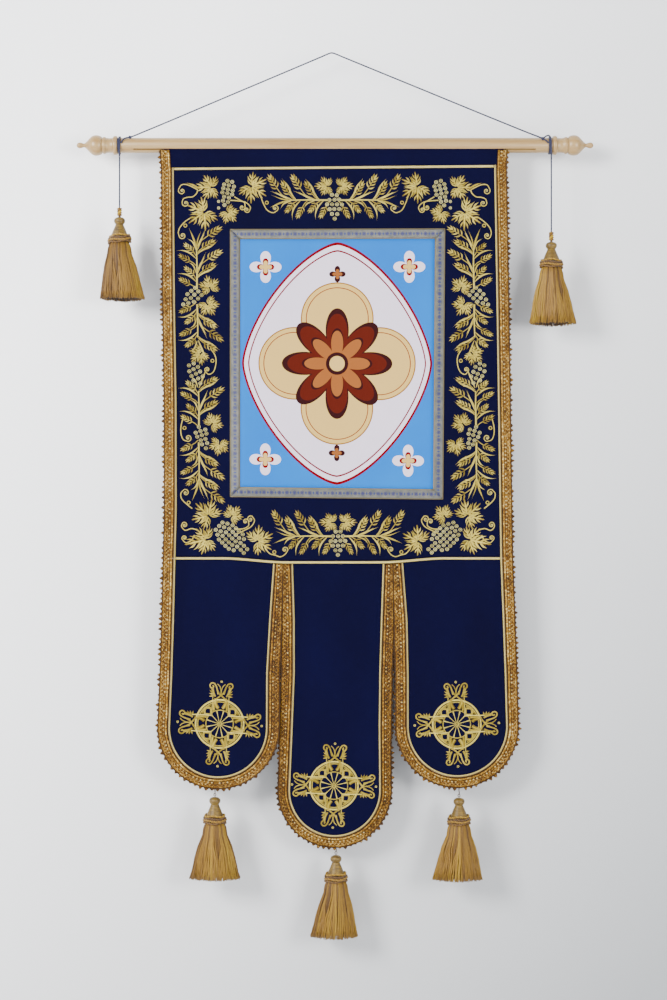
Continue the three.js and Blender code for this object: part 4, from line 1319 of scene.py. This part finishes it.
def stalk(work, start, along, across, first, crowned):
    """A stalk from its start; along and across are its own two directions on the border"""
    start, along, across = (np.array(v, float) for v in (start, along, across))

    def placed(points, node):
        return [start + across * a + along * (b + node) for a, b in points]

    nodes = [first, first + NODE_PITCH]
    end = nodes[1] + (14 if crowned else 4)
    work.satin(resampled(np.array(placed([(0, 0), (0.6, end / 2), (0, end)], 0)), 16),
               np.linspace(1.7, 1.0, 16), 0.82)
    for i, node in enumerate(nodes):
        last = i == 1 and not crowned
        for points, wide in LONG_BLADES + SHORT_BLADES[:2 if last else 3]:
            work.blade(placed(points, node), wide, 0.68 + 0.2 * rng.random(), 9, 0.35)
        for k, (ends, stem) in enumerate(zip(EARS, EAR_STALKS)):
            if last and k == 1:
                continue
            work.satin(resampled(np.array(placed(stem, node)), 5), 0.8, 0.6, 0.8)
            ear(work, *placed(ends, node))
    if crowned:
        for points, wide in CROWN_BLADES:
            work.blade(placed(points, nodes[1]), wide, 0.62, 9, 0.35)


# %% The whole half border
LEAVES = [
    (208, -231, 24, 0, 1.15), (221, -273, 31, -35, 1.0), (181.5, -274, 19.5, 226, 1.0),
    (141.7, -229, 29, 213, 1.0), (11.5, -229, 18.5, 0, 1.15), (213.7, -402, 21, 75, 1.0),
    (218, -430, 21, 236, 1.0), (231, -514, 20, -40, 1.0), (213, -633, 20, 132, 1.0),
    (200.6, -667, 20, -80, 1.0), (220, -789.5, 29, 44, 1.0), (180.5, -789.5, 20, 129, 1.0),
    (222.3, -830, 27, -12, 1.35), (137.2, -833, 28, 153, 1.0), (10.3, -800.7, 18.5, 0, 1.15),
]
BUNCHES = [
    ((177.5, -221), -77, (2, 3, 3, 3, 2, 2, 1), 6.9), ((233, -408), -40, (3, 3, 3, 2, 1), 8.6),
    ((247, -532), -115, (2, 3, 3, 3, 1), 8.8), ((235.5, -638), -108, (1, 3, 3, 2, 2, 1), 7.6),
    ((202, -807), -137, (3, 4, 5, 5, 5, 5, 4, 2, 2), 7.7),
]
MIDDLE_BUNCHES = [((0, -244), 8.0), ((0, -816), 8.0)]
STALKS = [
    ((235.5, -404.3), (0, 1), (-1, 0), 17.5, True), ((235.5, -430), (0, -1), (-1, 0), 12.7, False),
    ((235.5, -635.6), (0, 1), (-1, 0), 15.0, False), ((236, -664.5), (0, -1), (-1, 0), 13.0, True),
    ((10.6, -252.8), (1, 0), (0, 1), 13.0, True), ((10.6, -824.2), (1, 0), (0, 1), 12.5, True),
]
TENDRILS = [
    ([(232, -235), (236, -233), (246, -228), (253, -226), (260, -227), (264, -233)], (259, -237), None),
    ([(232, -235), (234, -241), (241, -247), (250, -248), (257, -251), (259, -257)], (253, -258), None),
    ([(244, -282), (255, -290), (263, -299), (266, -308), (264, -316)], (259, -313), (254, -296)),
    ([(170, -247), (160, -253), (153, -257), (152, -264)], (157, -265), None),
    ([(177, -253), (163, -254), (150, -257), (143, -265), (145, -272)], (149, -269), None),
    ([(129, -237), (125, -247), (121, -258), (114, -270), (104, -274), (97, -270)], (101, -266),
     (115, -257)),
    ([(211, -509), (206, -518), (205, -530), (210, -545), (218, -549), (224, -543)], (220, -541),
     (211, -526)),
    ([(263, -625), (266, -638), (266, -650), (262, -660), (254, -663)], (254, -657), (260, -640)),
    ([(248, -777), (258, -769), (266, -760), (267, -751), (262, -745)], (259, -750), (254, -767)),
    ([(238, -814), (249, -811), (260, -814), (266, -807), (264, -801)], (261, -805), None),
    ([(244, -822), (249, -831), (259, -835), (265, -829)], (261, -827), None),
    ([(175, -812), (160, -811), (152, -806), (152, -800)], (157, -799), None),
    ([(171, -820), (159, -814), (147, -807), (142, -797), (146, -790)], (149, -795), None),
    ([(122, -847), (115, -854), (107, -856), (98, -859), (90, -855), (85, -848)], (90, -847), (108, -851)),
]


def half_border(side):
    """One half of the border: side is -1 on the left of the middle line and 1 on its right"""
    work = Work(lambda line: np.stack([axis_x(line[:, 1]) + side * line[:, 0], line[:, 1]], 1))
    for row in LEAVES:
        leaf(work, *row)
    for start, direction, rows, step in BUNCHES:
        bunch(work, start, direction, rows, step)
    for row in STALKS:
        stalk(work, *row)
    for points, curl, loop in TENDRILS:
        tendril(work, points, curl, loop)
    work.blade([(228, -234), (240, -227), (252, -223)], 1.9, 0.6)
    for z in (-255, -266):
        work.grape((197, z), 2.6, 0.95)
    return work


# %% A grape, modelled once
def modelled_grape():
    """A ring of padded stitches with a smaller dot in it"""
    bpy.ops.object.select_all(action="DESELECT")
    bpy.ops.mesh.primitive_torus_add(major_segments=12, minor_segments=5, major_radius=0.8,
                                     minor_radius=0.2, location=(0, 0, 0.1))
    ring = bpy.context.object
    bpy.ops.mesh.primitive_uv_sphere_add(segments=8, ring_count=4, radius=0.34, location=(0, 0, 0.1))
    bpy.context.object.scale = (1, 1, 0.8)
    ring.select_set(True)
    bpy.context.view_layer.objects.active = ring
    bpy.ops.object.join()
    return settle(ring, "grape_pattern")


def set_domes(pile, pattern, domes, lift):
    """Copies of a dome that stand out of the cloth at (x, z, size, tone)"""
    for x, z, size, tone in domes:
        copied(pile, pattern, [np.column_stack([STAND_UP * size, (x, lift, z)])], tone)


grape_pattern = modelled_grape()
for name, side in (("left", -1), ("right", 1)):
    work = half_border(side)
    if side < 0:
        for start, step in MIDDLE_BUNCHES:
            bunch(work, start, -90, (2, 3, 4, 3, 2, 1), step)
    work.pile.piece(f"vine_border_{name}", gold_thread, "embroidery", (), hung)
    grapes = Pile()
    set_domes(grapes, grape_pattern, work.grapes, GROUND)
    grapes.piece(f"vine_grapes_{name}", pale_thread, "embroidery", (), hung)

# %% [markdown]
# ## The crosses
# Each lappet carries an openwork cross of the same stitch: a rosette of twelve dark petals, a ring
# of two cords with four square windows, and four arms that end in leaves and scrolls. One arm is
# drawn and turned four times. The stitches lie on the velvet, which shows through every opening.

# %% A cross
CROSSES = {"left": (-190.6, -1142.9, -2.8), "mid": (3.7, -1248.5, -1.7), "right": (212.5, -1143.6, 1.6)}
ARM_LINES = [
    ([(3.8, 26), (7.2, 31), (8.8, 36), (8.2, 43)], 3.3), ([(10.8, 22), (11.4, 30), (11.2, 39)], 2.2),
    ([(11, 39), (4, 45), (-3, 51), (-6.5, 57)], 1.5), ([(0, 49), (0.6, 58), (3, 64), (6.8, 67.5)], 0.9),
    ([(5, 50), (6.6, 57), (8.8, 63.4), (12, 68), (16.6, 68.8), (19.4, 65.4), (18.2, 61.2), (14.9, 60.4),
      (13.2, 63), (15, 65)], 1.4),
    ([(9.5, 46), (12.5, 52), (14, 58)], 1.8),
]
BARS = [(13.9, 14), (14.1, 30), (13.6, 48)]
ARM_TEETH = [((12, 47.5), -12), ((12.4, 49.5), 12), ((12.8, 51.6), 34), ((13.2, 53.6), 56),
             ((13.4, 55), 80)]
TOOTH = 8.5
RINGS = ((40.9, 1.7, 0.85), (37.3, 0.95, 0.65), (23.4, 0.95, 0.6))
WINDOW = {"far": 29.7, "half": 3.9, "frame": 1.4, "arc": 34.9}
PETALS = {"count": 12, "reach": (2, 8, 15, 22.5), "half": (0.7, 0.55, 0.7, 1.3)}
TIP_DOT = 71.6


def cross_stitches(work):
    def each_way(points):
        for arm in range(4):
            turn = arm * math.pi / 2
            c, s = math.cos(turn), math.sin(turn)
            for mirror in (1, -1):
                yield arm, [(c * mirror * x - s * y, s * mirror * x + c * y) for x, y in points]

    for radius, half, tone in RINGS:
        work.satin(circle(radius, 48), half, tone)
    for i in range(PETALS["count"]):
        way = toward(15 + 30 * i)
        work.satin([way * far for far in PETALS["reach"]], PETALS["half"], 0.85)
    for points, wide in ARM_LINES:
        for arm, line in each_way(points):
            stations = 3 * len(points)
            work.satin(resampled(smooth_line(line, 1.2), stations), wide, 0.42 + 0.2 * rng.random())
    for root, lean in ARM_TEETH:
        for arm, line in each_way([root, np.array(root) + TOOTH * toward(lean)]):
            work.blade(line, 1.5, 0.45 + 0.2 * rng.random(), 5, 0.6)
    for arm, line in each_way(BARS):
        work.satin(resampled(np.array(line), 8), 1.1 if arm % 2 else 0.8, 1.0 if arm % 2 else 0.7, 1.3)
    reach = WINDOW["half"] + WINDOW["frame"]
    for arm in range(4):
        middle = toward(45 + 90 * arm) * WINDOW["far"]
        for side in ((1, 0), (0, 1), (-1, 0), (0, -1)):
            out, along = np.array(side) * reach, np.array([side[1], side[0]]) * (reach + 1.2)
            frame_side = [middle + out - along, middle + out, middle + out + along]
            work.satin(frame_side, WINDOW["frame"] + 0.3, 0.6)
        arc = [toward(45 + 90 * arm + turn) * WINDOW["arc"] for turn in (-17, -8, 0, 8, 17)]
        work.satin(arc, (0.9, 1.8, 1.5, 1.8, 0.9), 0.5)
        work.grape(toward(90 * arm) * TIP_DOT, 2.0, 1.0)
    work.grape((0, 0), 3.4, 0.8)


for name, (x, z, turn) in CROSSES.items():
    c, s = math.cos(math.radians(turn)), math.sin(math.radians(turn))
    work = Work(lambda line, x=x, z=z, c=c, s=s: np.stack([x + c * line[:, 0] - s * line[:, 1],
                                                           z + s * line[:, 0] + c * line[:, 1]], 1))
    cross_stitches(work)
    set_domes(work.pile, grape_pattern, work.grapes, GROUND)
    work.pile.piece(f"stitched_cross_{name}", gold_thread, "embroidery", [f"cross_{name}"],
                    hung_on(LAPPETS[name]))
bpy.data.objects.remove(grape_pattern)

# %% [markdown]
# ## Tassels
# Each tassel is a wooden head wound with gold yarn, a collar of wavy gimp and a skirt of loose
# strands. The heads are spun from an outline that has the windings in it. The strands lie in three
# layers; the outer ones leave the collar in bundles, part a little at one place in front, spread to
# a flat oval foot and are cut slightly unevenly.

# %% Tassel yarn
yarn = Finish("gold tassel yarn", screen(184, 148, 74), 0.5, Sheen_Weight=0.1, Metallic=0.12)
value = yarn.calc("ADD", yarn.tone(), yarn.vary(yarn.noise(260, 2, stretch=(3, 3, 0.6)), 0.3))
yarn.color(yarn.ramp(value, (0.0, screen(62, 36, 0)), (0.35, screen(134, 94, 10)),
                     (0.65, screen(192, 146, 36)), (1.0, screen(252, 214, 98))))
yarn.bump(yarn.wave(yarn.thread()[0], 2.4), 0.2, 0.5)

wound_yarn = Finish("wound yarn of the heads", screen(178, 160, 90), 0.5, Sheen_Weight=0.08, Metallic=0.12)
fleck = wound_yarn.noise(120, 3, stretch=(1, 1, 4))
wound_yarn.color(wound_yarn.ramp(fleck, (0.3, screen(98, 72, 10)), (0.7, screen(176, 142, 44))))
wound_yarn.bump(wound_yarn.noise(900, 2), 0.15, 0.5)

# %% Where the tassels hang
# top is the height of the knob's top, half is half the width of the foot and lean its shift
# sideways, tilt turns the collar, parting is where the front strands part, in radians round the
# head, and stem is the cord between a lappet and its tassel
TASSELS = {
    "cord_left": {"x": -360.5, "top": -282.2, "half": 36.5, "lean": 5.0, "tilt": 0.07, "parting": -1.75},
    "cord_right": {"x": 372.9, "top": -324.2, "half": 38.5, "lean": 2.5, "tilt": -0.03, "parting": -1.0},
    "lappet_left": {"x": -198.6, "top": -1267.0, "half": 42.0, "lean": 0.0, "tilt": -0.02,
                    "parting": -1.35, "stem": 17.5},
    "lappet_mid": {"x": 7.1, "top": -1367.3, "half": 39.0, "lean": -3.4, "tilt": 0.03,
                   "parting": -2.1, "stem": 16.7},
    "lappet_right": {"x": 216.2, "top": -1268.7, "half": 41.5, "lean": -2.6, "tilt": 0.04,
                     "parting": -1.9, "stem": 20.7},
}
FOOT = 141.0
FOOT_DEPTH = 22.0
BUNDLES = 11
# Each layer's reach and number of strands; the levels are heights below the knob's top
LAYERS = ((1.0, 190), (0.88, 140), (0.66, 90))
LEVELS = np.array([40.0, 46.0, 52.0, 64.0, 84.0, 104.0, 124.0, FOOT])
COLLAR_RADII = np.array([13.6, 17.0, 19.2, 21.0])
# Outer strands start gathered to this share of their bundle's width, and those within PARTING
# radians of the parting open away from it. Both fade out from their own level down to BLENDED_AT.
GATHERED = 0.62
PARTING = 0.24
OPEN_TO = 66
BLENDED_AT = 112
# The foot is reached by a power of the way down, so that the skirt flares early
FLARE = 0.72
WAVER = 1.3
# An inner strand is darker, by the shadow times what its layer lacks in reach
STRAND = {"tone": 0.62, "shadow": 2.0, "radius": 0.62, "end_radius": 0.82}


def skirt(pile, tassel):
    """Loose strands from under the collar; x, y and z from the top of the knob"""
    shades = rng.normal(0, 0.1, BUNDLES)
    blend = soft_step(LEVELS, LEVELS[2], BLENDED_AT)
    closed = soft_step(LEVELS, OPEN_TO, BLENDED_AT)
    drop = np.clip((LEVELS - LEVELS[3]) / (FOOT - LEVELS[3]), 0, 1)
    for reach, count in LAYERS:
        for i in range(count):
            turn = 2 * math.pi * (i + 0.6 * rng.random()) / count - math.pi
            place = (turn / (2 * math.pi) + 0.5) * BUNDLES
            bundle = int(place) % BUNDLES
            middle = (int(place) + 0.5) / BUNDLES * 2 * math.pi - math.pi
            near = middle + (turn - middle) * (GATHERED if reach == 1 else 1)
            off = turn - tassel["parting"]
            opened = math.copysign(max(0.0, (PARTING if reach == 1 else 0) - abs(off)), off)
            angle = near + (turn - near) * blend + opened * (1 - closed)
            radius = np.interp(LEVELS, LEVELS[:4], COLLAR_RADII) * (0.75 + 0.25 * reach)
            wide = radius + (tassel["half"] * reach - radius) * drop ** FLARE
            deep = radius + (FOOT_DEPTH * reach - radius) * drop
            wave = WAVER * np.sin(LEVELS / rng.uniform(9, 16) + rng.uniform(0, 6)) * drop
            x = wide * np.cos(angle) + tassel["lean"] * drop + wave
            y = deep * np.sin(angle)
            z = -LEVELS.copy()
            z[-1] += 3.2 * math.cos(turn) ** 2 - 2.5 * min(0, math.sin(turn)) + rng.uniform(-1.8, 1.4)
            tone = STRAND["tone"] + shades[bundle] + rng.normal(0, 0.08) - STRAND["shadow"] * (1 - reach)
            thick = np.linspace(STRAND["radius"], STRAND["end_radius"], len(LEVELS))
            tube(pile, np.stack([x, y, z], 1), thick, 3, tone)


# %% [markdown]
# ## Heads, collars and knots
# The head's outline comes from the knob down to the cone, and the windings are small waves in it.
# The collar is a padded roll with four lines of two-ply gimp over it, each one wavy, so that it looks
# crimped. The tassels on the drops of cord also have a bound knot, where yarn is wound round the cord.

# %% Heads and collars
# Outlines are (distance down from the knob's top, radius)
HEAD_KNOB = [(0, 0.0), (0, 2.4), (0.6, 5.3), (2.0, 7.8), (4.2, 9.3), (6.6, 9.7), (9.0, 9.0), (11.2, 7.5),
             (12.4, 6.6)]
HEAD_CONE = [(13.0, 6.8), (15.6, 7.8), (20.5, 10.0), (29.5, 13.6), (34.0, 14.2), (47.0, 14.4)]
HEAD_FOOT = [(47.0, 14.2), (47.0, 0.0)]
WINDING = {"pitch": 1.5, "depth": 0.22, "last": 36}


def head_outline():
    cone = np.array(HEAD_CONE, float)
    down = np.arange(HEAD_CONE[0][0], WINDING["last"], WINDING["pitch"] / 4)
    ridge = WINDING["depth"] * np.abs(np.sin(math.pi * down / WINDING["pitch"]))
    wound = list(zip(down, np.interp(down, cone[:, 0], cone[:, 1]) + ridge))
    return HEAD_KNOB + wound + HEAD_FOOT


# Each line of gimp: how far down it is, its radius, number of waves, phase and tone
GIMP = ((31.4, 16.2, 3, 0.4, 0.8), (35.2, 18.0, 4, 3.4, 0.3), (38.8, 18.8, 3, 2.2, 0.7),
        (42.4, 18.3, 4, 5.1, 0.4))
ROLL = {"down": 37.5, "radius": 13.2, "thick": 5.0}
GIMP_WAVE = 1.1


def collar(pile, tassel):
    """A padded roll and wavy lines of gimp round the head"""
    turn = np.linspace(0, 2 * math.pi, 81)
    c, s = np.cos(turn), np.sin(turn)
    roll = np.stack([ROLL["radius"] * c, ROLL["radius"] * s, tassel["tilt"] * 13 * c - ROLL["down"]], 1)
    tube(pile, roll, ROLL["thick"], 8, 0.1)
    for level, radius, waves, phase, tone in GIMP:
        high = -level + GIMP_WAVE * np.sin(waves * turn + phase) + tassel["tilt"] * radius * c
        plied(pile, np.stack([radius * c, radius * s, high], 1), 4.4, 7.5, 2, 6, (tone, tone - 0.15))


for name, tassel in TASSELS.items():
    lappet = LAPPETS.get(name.replace("lappet_", ""))
    stem = tassel.get("stem", 0)
    y = -WRAP_RADIUS
    if stem:
        y = hung(np.array([[tassel["x"], 0, tassel["top"] + stem]]), lappet)[0, 1]
    origin = np.array([tassel["x"], y, tassel["top"]])
    head = spun(f"wound_head_{name}", head_outline(), origin, (0, 0, -1), 28)
    head.data.materials.append(wound_yarn.material)
    keep(head, "tassel_yarn")
    pile = Pile()
    collar(pile, tassel)
    pile.piece(f"gimp_collar_{name}", yarn, "tassel_yarn", [f"tassel_collar_{name}"],
               lambda points: points + origin)
    pile = Pile()
    skirt(pile, tassel)
    if stem:
        turn = np.linspace(0, 2 * math.pi, 17)
        loop = np.stack([1.8 * np.sin(turn), 0.3 * turn, 1.2 + 2.4 * (1 - np.cos(turn))], 1)
        tube(pile, loop, 0.7, 5, 0.12)
        hanger = smooth_line([(0, 0, 5), (0.4, 0, 9), (-0.2, 0, 13), (0, 0, stem)], 0.8)
        plied(pile, hanger, 2.0, 3.6, 2, 4, 0.1)
    else:
        tube(pile, np.array([(0, 0, -1), (0, 0, 0.5), (0, 0, 2.2)]), 2.2, 8, 0.2)
    pile.piece(f"skirt_of_{name}", yarn, "tassel_yarn", [f"tassel_{name}"],
               lambda points: points + origin)
    if stem:
        continue
    side = name.replace("cord_", "")
    drop = DROPS[side]
    rise = np.linspace(0, 1, 40)
    line = np.stack([np.full(40, drop["x"]), np.full(40, -WRAP_RADIUS),
                     drop["knot_foot"] + 0.6 + rise * (drop["foot"] - drop["knot_foot"] - 1.2)], 1)
    pile = Pile()
    plied(pile, line, 9.4 - 1.4 * np.cos(2 * math.pi * rise * 2) ** 2, 12.0, 3, 8, (0.95, 0.6, 0.4))
    knot = pile.piece(f"bound_knot_{side}", yarn, "tassel_yarn", [f"cord_knot_{side}"])
    route = [(drop["x"], -WRAP_RADIUS, z) for z in np.linspace(DROP_TOP, drop["foot"], 9)]
    free_cord(f"drop_of_cord_{side}", route, f"cord_drop_{side}", far_end="knot", lay="hanging",
              with_pieces=[knot])

# %% [markdown]
# ## Stage and light
# The banner hangs a little in front of a pale wall, over a pale floor. Two large soft lights stand
# to the left and right of the camera, the left one stronger, so the folds and threads shade softly.
# The wall is seen from its front only, so that a view from behind still shows the banner's back.

# %% Wall, floor and lights
WALL_Y = 46.0
FLOOR_Z = -1640.0


def stage_plane(name, size, location, rotation, color, painted_falloff=False):
    """A large plane that is clear from behind; with painted_falloff its colour darkens to the right and
    downward, a painted shading for light that falls off across the wall
    """
    bpy.ops.object.select_all(action="DESELECT")
    bpy.ops.mesh.primitive_plane_add(size=1, location=[value * MM for value in location], rotation=rotation)
    plane = bpy.context.object
    plane.scale = (size[0] * MM, size[1] * MM, 1)
    settle(plane, name)
    paint = Finish(name, color, 0.9, Specular_IOR_Level=0.1)
    if painted_falloff:
        # Painted shading: the wall's colour darkens to the right and downward, as the light falls off
        x, y, z = paint.axes()
        share = paint.calc("ADD", paint.calc("MULTIPLY", x, 0.5), paint.calc("MULTIPLY", z, -0.35))
        paint.color(paint.ramp(paint.calc("MULTIPLY_ADD", share, 0.9, 0.2), (0.1, linear(250, 250, 251)),
                               (0.95, linear(160, 162, 164))))
    output = paint.tree.nodes["Material Output"]
    clear = paint.node("ShaderNodeBsdfTransparent")
    facing = paint.tree.nodes.new("ShaderNodeNewGeometry").outputs["Backfacing"]
    mixed = paint.node("ShaderNodeMixShader", {0: facing, 1: paint.shader.outputs[0], 2: clear})
    paint.put(mixed, output.inputs["Surface"])
    plane.data.materials.append(paint.material)


stage_plane("pale_wall", (9000, 6000), (0, WALL_Y, FLOOR_Z + 3000), (math.pi / 2, 0, 0),
            linear(246, 246, 247), painted_falloff=True)
stage_plane("pale_floor", (9000, 9000), (0, 0, FLOOR_Z), (0, 0, 0), linear(222, 222, 222))

ROOM_LIGHT = 1.05
LIGHTS = {
    "key": {"place": (-2350, -2750, 350), "size": 1300, "power": 262},
    "fill": {"place": (2100, -2900, -500), "size": 1200, "power": 122},
}
target = Vector((VIEW["x"], 0, VIEW["z"])) * MM
for name, light in LIGHTS.items():
    place = Vector(light["place"]) * MM
    bpy.ops.object.select_all(action="DESELECT")
    bpy.ops.object.light_add(type="AREA", location=place)
    lamp = bpy.context.object
    lamp.name = name
    lamp.rotation_euler = (target - place).to_track_quat("-Z", "Y").to_euler()
    lamp.data.size = light["size"] * MM
    lamp.data.energy = light["power"]
world = bpy.data.worlds.new("soft room")
world.use_nodes = True
room = world.node_tree.nodes["Background"].inputs
room["Color"].default_value = linear(236, 240, 246)
room["Strength"].default_value = ROOM_LIGHT
bpy.context.scene.world = world
